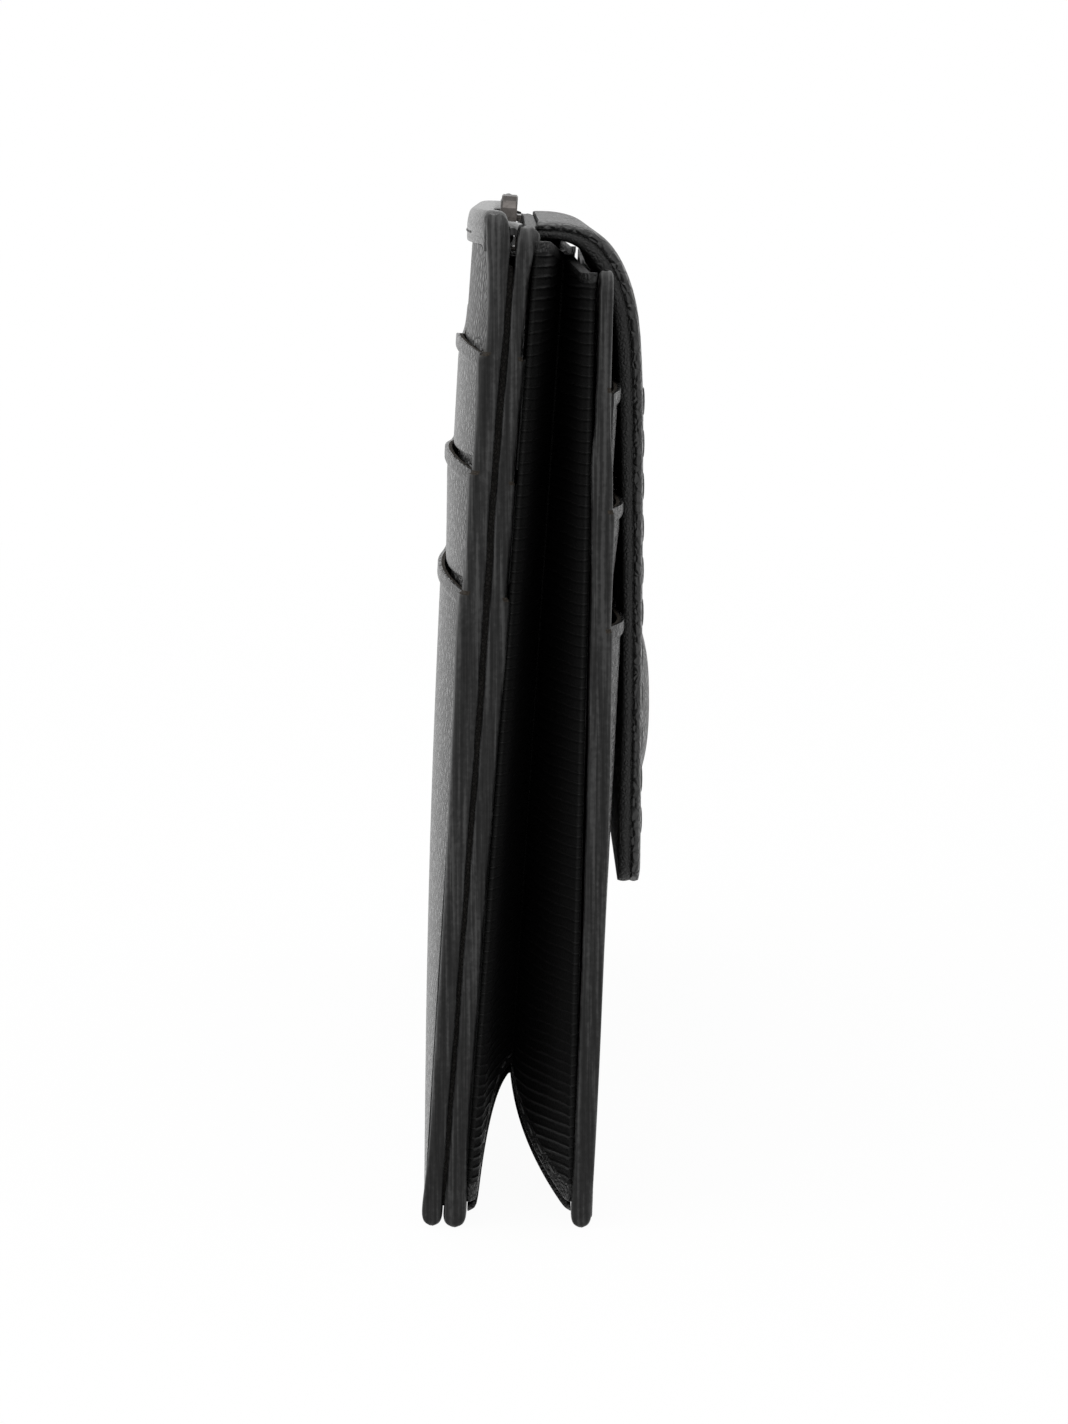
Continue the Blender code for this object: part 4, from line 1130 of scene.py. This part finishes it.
def topPoint(turn):
    rearTop = holder["rearHeight"] - gusset["rearDrop"]
    frontEdge = holder["rearHeight"] - gusset["frontDrop"]
    rearY = rearLine(rearTop, gusset["rearOffsetTop"])
    frontY = frontLine(frontEdge, gusset["frontOffsetTop"])
    depth, opened, side = foldShape(turn)
    along = max(0.0, min(2.0, turn))
    z = rearTop + (frontEdge - rearTop) * along / 2
    reach = gusset["foldRadius"] + ((rearY - frontY) / 2 - gusset["foldRadius"]) * opened
    y = (rearY + frontY) / 2 - side * reach
    beyond = smoothShare(abs(turn - 1), 1.0, 1.0 + gusset["edgeShare"])
    sewn = rearLine(z, gusset["edgeOffset"]) if turn < 1 else frontLine(z, gusset["edgeOffset"])
    return depth, y + (sewn - y) * beyond, z


def gussetTurns():
    share, edge = gusset["foldShare"], gusset["edgeShare"]
    turns = [-edge, -edge * 0.7, -edge * 0.35] + evenSteps(0.0, 1 - share, 12)
    turns += [1 - share * math.cos(angle) for angle in evenSteps(0.0, math.pi, 6)[1:]]
    return turns + evenSteps(1 + share, 2.0, 12)[1:] + [2 + edge * 0.35, 2 + edge * 0.7, 2 + edge]


def gussetPoint(turn, rise):
    # How deep from the side, how far across and how high, from the mitre (rise 0) to the top (rise 1).
    lowDepth, lowY, lowZ = mitrePoint(turn)
    highDepth, highY, highZ = topPoint(turn)
    lowZ += gusset["thickness"] + gusset["footGap"]
    return Vector((lowDepth + (highDepth - lowDepth) * rise, lowY + (highY - lowY) * rise,
                   lowZ + (highZ - lowZ) * rise))


def gussetSide(name, node, sign):
    look = gusset
    rises = [0.0, 0.004, 0.010, 0.016, 0.019, 0.028] + evenSteps(0.05, 0.965, 22)
    rises += [0.982, 0.986, 0.989, look["hemFull"], 0.996, 0.999, 1.0]

    def place(turn, rise, layer):
        here = gussetPoint(turn, rise)
        before = gussetPoint(max(-look["edgeShare"], turn - 0.02), rise)
        after = gussetPoint(min(2 + look["edgeShare"], turn + 0.02), rise)
        along = Vector((after.x - before.x, after.y - before.y)).normalized()
        rolled = smoothShare(rise, look["hemFrom"], look["hemFull"]) * look["hemRoll"]
        out = (look["thickness"] + rolled) * (layer - 0.5)
        return Vector((sign * (halfWidth - here.x + along.y * out), here.y + along.x * out, here.z))

    def choose(where, turn, rise, layer):
        return 1 if rise >= look["hemFrom"] or rise < look["hemBelow"] else 0

    piece = buildBlock(
        name, gussetTurns(), rises, [0.0, 0.5, 1.0], place, ["ribs", "gussetHem"], choose)
    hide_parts(node)
    return piece


def gussetHemStitches():
    # Stitches along the hem that borders the arch between the feet.
    reach, stitches = gusset["stitchReach"], []
    for sign in (-1, 1):
        for turn in evenSteps(0.14, 0.86, 5) + evenSteps(1.14, 1.86, 5):
            points = [gussetPoint(turn + step, gusset["stitchRise"]) for step in (-reach, reach)]
            along = (points[1].xy - points[0].xy).normalized()
            out = Vector((-sign * along.y, -along.x, 0.0)) * gusset["thickness"] / 2
            ends = [Vector((sign * (halfWidth - point.x), point.y, point.z)) + out for point in points]
            stitches.append((*ends, out.normalized()))
    return makeStitches("gusset_hem_stitches", stitches)


def footPleat():
    look = gusset

    def place(share, turn, layer):
        depth, y, z = mitrePoint(turn)
        before = Vector(mitrePoint(max(-look["edgeShare"], turn - 0.03))[1:])
        after = Vector(mitrePoint(min(2 + look["edgeShare"], turn + 0.03))[1:])
        along = (after - before).normalized()
        out = look["thickness"] * (layer - 0.5)
        x = (halfWidth - depth - look["thickness"] - look["footGap"]) * share
        return Vector((x, y - along.y * out, z + along.x * out))

    shares = bothSides([0.0, 0.3, 0.6, 0.85, 0.96, 0.985, 0.995, 1.0])
    piece = buildBlock(
        "foot_pleat_leather", shares, gussetTurns(), [0.0, 0.5, 1.0], place, ["gussetHem"])
    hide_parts("gusset_bottom")
    return piece


def makeGussets():
    # They join the rear wall to the front one, so they ride neither body: their shapes are set in the
    # room.
    pieces = (
        gussetSide("gusset_cloth_near", "gusset_near", -1),
        gussetSide("gusset_cloth_far", "gusset_far", 1),
        gussetHemStitches(),
        footPleat())
    for piece in pieces:
        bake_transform(piece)


# The padded flap: its outer leather is turned over the sides and tip, with a lining inside.
flap = {
    "halfWidth": 0.0450,
    "rise": 0.00036,
    "length": 0.05455,
    "stand": 0.0055,
    "shoulderDrop": 0.01325,
    "shoulderDepth": 0.0075,
    "curvePower": 2.3,
    "tuckIn": 0.0001,
    "cornerRadius": 0.0025,
    "studRise": 0.0088,
    "bulge": 0.0023,
    "bulgeRadius": 0.0090,
    "bulgeInside": 0.0010,
    "sideDrop": 0.00022,
    "sideSpan": (-0.0003, 0.0014),
    "innerSideShare": 0.6,
    "seamInset": 0.0016,
    "seamWidth": 0.00028,
    "seam": 0.00012,
    "join": 0.42,
    "roll": 0.00022,
    "settle": 0.00062,
    "settleSpan": (0.0018, 0.0064),
    "rootGap": 0.0003,
    "rootReach": 0.00035,
    "thickness": 0.0018,
    "shoulderExtra": 0.0003,
    "shoulderSpan": (0.050, 0.070),
    "tipExtra": 0.0002,
    "tipSpan": (0.032, 0.042),
    "shoulderRows": 20,
}
flapTop = holder["rearHeight"] * math.cos(holder["rearLean"]) + flap["rise"]
flapShoulder = flapTop - flap["shoulderDrop"]
flapEnd = flapTop - flap["length"]
flapFront = holder["frontFootY"] - flap["stand"]
flapRoot = holder["rearFootY"] - innerTop * math.sin(holder["rearLean"])
flapRoot -= totalBow * (1 - holder["rearBowShare"]) + flap["rootGap"]
studHeight = flapEnd + flap["studRise"]


def flapFace(z):
    share = (flapShoulder - z) / (flapShoulder - flapEnd)
    return flapFront + flap["tuckIn"] * share ** 3


def flapOutline():
    # The flap's outer face seen from its side, from its root over the shoulder to its tip.
    rise = flapTop - flapShoulder
    crest = flapFront + flap["shoulderDepth"]
    power = 2 / flap["curvePower"]
    points = [Vector((flapRoot, flapTop)), Vector((flapRoot - 0.0002, flapTop))]
    for turn in evenSteps(0.0, math.pi / 2, 18):
        y = crest - flap["shoulderDepth"] * math.sin(turn) ** power
        z = flapShoulder + rise * math.cos(turn) ** power
        if points[-1].x - y > 0.00025:
            points.append(Vector((y, z)))
    points += [Vector((flapFace(z), z)) for z in evenSteps(flapShoulder, flapEnd + 0.003, 22)[1:]]
    points += [Vector((flapFace(z), z)) for z in (
        flapEnd + 0.0018, flapEnd + 0.0010, flapEnd + 0.0005, flapEnd + 0.0002, flapEnd)]
    return points


def flapBulge(x, z):
    return math.exp(-(math.hypot(x, z - studHeight) / flap["bulgeRadius"]) ** 4)


def flapThickness(z):
    # Thickest at the shoulder and the tip, thinner where the card pockets press against it.
    return (flap["thickness"] + flap["shoulderExtra"] * smoothShare(z, *flap["shoulderSpan"])
            + flap["tipExtra"] * (1 - smoothShare(z, *flap["tipSpan"])))


def flapRim(layer):
    # The flap's edge is two rolls of leather with a crease between them: the turned one outside.
    join = flap["join"]
    share = layer / join if layer <= join else (layer - join) / (1 - join)
    return flap["roll"] * (1 - math.sin(math.pi * max(0.0, min(1.0, share))) ** 0.55)


def makeFlap():
    look, points = flap, flapOutline()
    last = len(points) - 1
    normals = []
    for index in range(len(points)):
        along = (points[min(last, index + 1)] - points[max(0, index - 1)]).normalized()
        normals.append(Vector((along.y, -along.x)))
    reach, radius = look["halfWidth"], look["cornerRadius"]
    columns = bothSides([0.0, 0.12, 0.24, 0.36, 0.48, 0.60, 0.72, 0.82, 0.89, 0.935, 0.955, 0.966,
                         0.974, 0.982, 0.992, 0.997, 1.0])
    layers = [0.0, 0.05, 0.13, 0.23, 0.33, 0.395, look["join"], 0.445, 0.52, 0.64, 0.78, 0.9, 0.97, 1.0]

    def place(share, row, layer):
        point, normal = points[row], normals[row]
        into = max(0.0, min(radius, radius - (point.y - flapEnd)))
        half = reach - (radius - math.sqrt(radius ** 2 - into ** 2))
        atRim = smoothShare(abs(share), 0.990, 1.0)
        x = share * half - math.copysign(atRim * flapRim(layer), share)
        toTip = point.y - flapEnd if row > look["shoulderRows"] else 1.0
        toEdge = min((1 - abs(share)) * half, toTip)
        bulge = flapBulge(x, point.y)
        crown = look["sideDrop"] * (1 - smoothShare(toEdge, *look["sideSpan"]))
        seam = look["seam"] * math.exp(-((toEdge - look["seamInset"]) / look["seamWidth"]) ** 2)
        outer = -look["bulge"] * bulge + crown + seam
        inner = flapThickness(point.y) - look["bulgeInside"] * bulge - crown * look["innerSideShare"]
        depth = outer + (inner - outer) * layer
        up = flapRim(layer) if row == last else 0.0
        if row < look["shoulderRows"]:
            settled = 1 - smoothShare(flapRoot - point.x, *look["settleSpan"])
            up -= look["settle"] * settled * (1 - layer)
        # Its root meets the inner rear wall all along.
        toWall = innerBow(x, innerTop) - innerBow(0.0, innerTop) + look["rootReach"]
        y = point.x - normal.x * depth + toWall * (1 - smoothShare(row, 0, 3))
        return Vector((x, y, point.y - normal.y * depth + up))

    def choose(where, share, row, layer):
        if where == "inner":
            return 1 if abs(share) < 0.94 and row < last - 5 else 2
        return 2 if rimSide(where) and layer >= look["join"] else 0

    piece = buildBlock("flap_padded_leather", columns, list(range(len(points))), layers, place,
                       ["leather", "lining", "turnedEdge"], choose)
    dress(piece, bodies["flap"], "black_leather", "flap_cover", "flap_lining")


# Stitches: short threads that dip into the leather at both ends.
thread = {"radius": 0.00011, "length": 0.0022, "pitch": 0.0033}


def makeStitches(name, stitches):
    shape = bmesh.new()
    for start, end, outward in stitches:
        along = (end - start) / 2
        across = along.cross(outward).normalized() * thread["radius"]
        outward = outward.normalized() * thread["radius"]
        middle = (start + end) / 2 + outward * 0.2
        turned = Matrix((
            (across.x, outward.x, along.x, middle.x),
            (across.y, outward.y, along.y, middle.y),
            (across.z, outward.z, along.z, middle.z),
            (0.0, 0.0, 0.0, 1.0)))
        bmesh.ops.create_uvsphere(shape, u_segments=6, v_segments=6, radius=1.0, matrix=turned)
    bmesh.ops.recalc_face_normals(shape, faces=shape.faces)
    return addPiece(name, shape, ["thread"])


def stitchRow(spot, count):
    # spot(share) gives a place on the leather; the thread lies along the row.
    row = []
    for index in range(count):
        share = (index + 0.5) / count
        reach = 0.5 * thread["length"] / thread["pitch"] / count
        row.append((spot(share - reach), spot(share + reach)))
    return row


hemStitchRun = 0.090


def makeHemStitches():
    s = holder["rearHeight"] - hem["stitchDrop"]
    out = rearInnerFace + rearWalls["rearThickness"] + holder["seamGap"] + hem["thickness"]

    def onHem(share):
        x = hemStitchRun * (share - 0.5)
        return rearSpot(x, out + rearBow(x, s), s)

    row = stitchRow(onHem, round(hemStitchRun / thread["pitch"]))
    stitches = [(start, end, Vector((0, 1, 0))) for start, end in row]
    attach(makeStitches("rear_hem_stitches", stitches), bodies["rear"])


flapStitches = {
    "proud": 0.00005,
    "sideStitches": 11,
    "tipStitches": 25,
    "tipShare": 0.96,
    "corner": 0.002,
}


def makeFlapStitches():
    look = flapStitches
    high, low = flapShoulder, flapEnd + flap["seamInset"]
    side = flap["halfWidth"] - flap["seamInset"]

    def onFace(x, z):
        return Vector((x, flapFace(z) - flap["bulge"] * flapBulge(x, z) + look["proud"], z))

    def alongSide(sign):
        return lambda share: onFace(sign * side, high + (low + look["corner"] - high) * share)

    rows = []
    for sign in (-1, 1):
        rows += stitchRow(alongSide(sign), look["sideStitches"])
    rows += stitchRow(lambda share: onFace(side * look["tipShare"] * (2 * share - 1), low),
                      look["tipStitches"])
    stitches = [(start, end, Vector((0, -1, 0))) for start, end in rows]
    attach(makeStitches("flap_stitches", stitches), bodies["flap"])


def finishNodes():
    # CAD nodes that stay: the metal parts and the board inside the flap.
    kept = {
        "zipMetal": ("zip_slider", "zip_pull"),
        "snapMetal": ("snap_cap", "snap_socket", "snap_stud"),
        "board": ("flap_stiffener",),
    }
    for finish, nodes in kept.items():
        for node in nodes:
            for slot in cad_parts[node].material_slots:
                slot.material = finishes[finish]


makeRearWalls()
print("stage: rear walls")
makeFrontWall()
makeBands()
makeWelt()
makePockets()
makeSlipPocket()
print("stage: front wall, painted edges and pockets")
makeHem()
makeZipTab("zip_tab_near", "zip_end_near", -1)
makeZipTab("zip_tab_far", "zip_end_far", 1)
makeCoil()
makeCrownStrap()
makeTape("zip_tape_cloth_front", "zip_tape_front", -1)
makeTape("zip_tape_cloth_rear", "zip_tape_rear", 1)
print("stage: zip")
makeGussets()
print("stage: gussets")
makeFlap()
makeHemStitches()
makeFlapStitches()
finishNodes()
print("stage: flap")


# Room, light and camera.
room = {
    "lensMillimetres": 3562 * 36 / 1424,
    "sensorMillimetres": 36.0,
    "cameraPlace": (-0.3309, 0.00212, 0.0843),
    "pitch": math.radians(8.573),
    "yaw": math.radians(0.254),
    "skyLight": 0.75,
    "floorSize": 3.0,
    "floorColour": (0.92, 0.92, 0.92, 1.0),
    "floorWhite": 0.96,
    "floorFade": (0.12, 0.5),
    "lampTarget": (0, 0, 0.04),
    "lamps": {  # place, size and power
        "lamp_above": ((-0.10, 0.10, 0.60), 0.5, 1.2),
        "lamp_left": ((-0.35, 0.45, 0.25), 0.4, 0.72),
    },
}
white = (1.0, 1.0, 1.0, 1.0)


def lookAlong(thing, direction):
    thing.rotation_euler = direction.to_track_quat("-Z", "Y").to_euler()


def glowNode(tree, kind, strength):
    glow = tree.nodes.new(kind)
    glow.inputs["Color"].default_value = white
    glow.inputs["Strength"].default_value = strength
    return glow.outputs[0]


def mixShaders(tree, share, first, second, target):
    mix = tree.nodes.new("ShaderNodeMixShader")
    for source, socket in zip((share, first, second), mix.inputs):
        tree.links.new(source, socket)
    tree.links.new(mix.outputs["Shader"], target.inputs["Surface"])


def whiteForCamera(tree):
    # 1 for what the camera sees directly, mirrored or through glass.
    path = tree.nodes.new("ShaderNodeLightPath").outputs
    first = mathNode(tree, "MAXIMUM", path["Is Camera Ray"], path["Is Glossy Ray"])
    return mathNode(tree, "MAXIMUM", first, path["Is Transmission Ray"])


def makeSky(scene):
    world = bpy.data.worlds.new("studio")
    scene.world = world
    world.use_nodes = True
    tree = world.node_tree
    tree.nodes.clear()
    light = glowNode(tree, "ShaderNodeBackground", room["skyLight"])
    shown = glowNode(tree, "ShaderNodeBackground", 1.0)
    mixShaders(tree, whiteForCamera(tree), light, shown, tree.nodes.new("ShaderNodeOutputWorld"))


def makeFloor(scene):
    shape = bmesh.new()
    bmesh.ops.create_grid(shape, x_segments=1, y_segments=1, size=room["floorSize"])
    mesh = bpy.data.meshes.new("floor")
    shape.to_mesh(mesh)
    shape.free()
    floor = bpy.data.objects.new("floor", mesh)
    scene.collection.objects.link(floor)
    material, tree, shader = newMaterial("pale_floor", {"shine": 0.0})
    shader.inputs["Base Color"].default_value = room["floorColour"]
    shader.inputs["Roughness"].default_value = 0.9
    away = tree.nodes.new("ShaderNodeVectorMath")
    away.operation = "LENGTH"
    tree.links.new(objectPlace(tree), away.inputs[0])
    fade = rangeNode(tree, away.outputs["Value"], room["floorFade"], (room["floorWhite"], 1.0))
    share = mathNode(tree, "MULTIPLY", whiteForCamera(tree), fade)
    glow = glowNode(tree, "ShaderNodeEmission", 1.0)
    mixShaders(tree, share, shader.outputs["BSDF"], glow, tree.nodes["Material Output"])
    mesh.materials.append(material)


def makeLamps(scene):
    for name, (place, size, power) in room["lamps"].items():
        data = bpy.data.lights.new(name, "AREA")
        data.size = size
        data.energy = power
        lamp = bpy.data.objects.new(name, data)
        lamp.location = place
        lookAlong(lamp, Vector(room["lampTarget"]) - Vector(place))
        scene.collection.objects.link(lamp)


def makeCamera(scene):
    data = bpy.data.cameras.new("camera")
    data.lens = room["lensMillimetres"]
    data.sensor_width = room["sensorMillimetres"]
    data.clip_start, data.clip_end = 0.01, 20.0
    camera = bpy.data.objects.new("camera", data)
    camera.location = room["cameraPlace"]
    pitch, yaw = room["pitch"], room["yaw"]
    lookAlong(camera, Vector((math.cos(pitch) * math.cos(yaw), -math.cos(pitch) * math.sin(yaw),
                              -math.sin(pitch))))
    scene.collection.objects.link(camera)
    scene.camera = camera


def makeRoom():
    scene = bpy.context.scene
    makeSky(scene)
    makeFloor(scene)
    makeLamps(scene)
    makeCamera(scene)
    scene.view_settings.view_transform = "Standard"


makeRoom()
print("stage: room and camera")
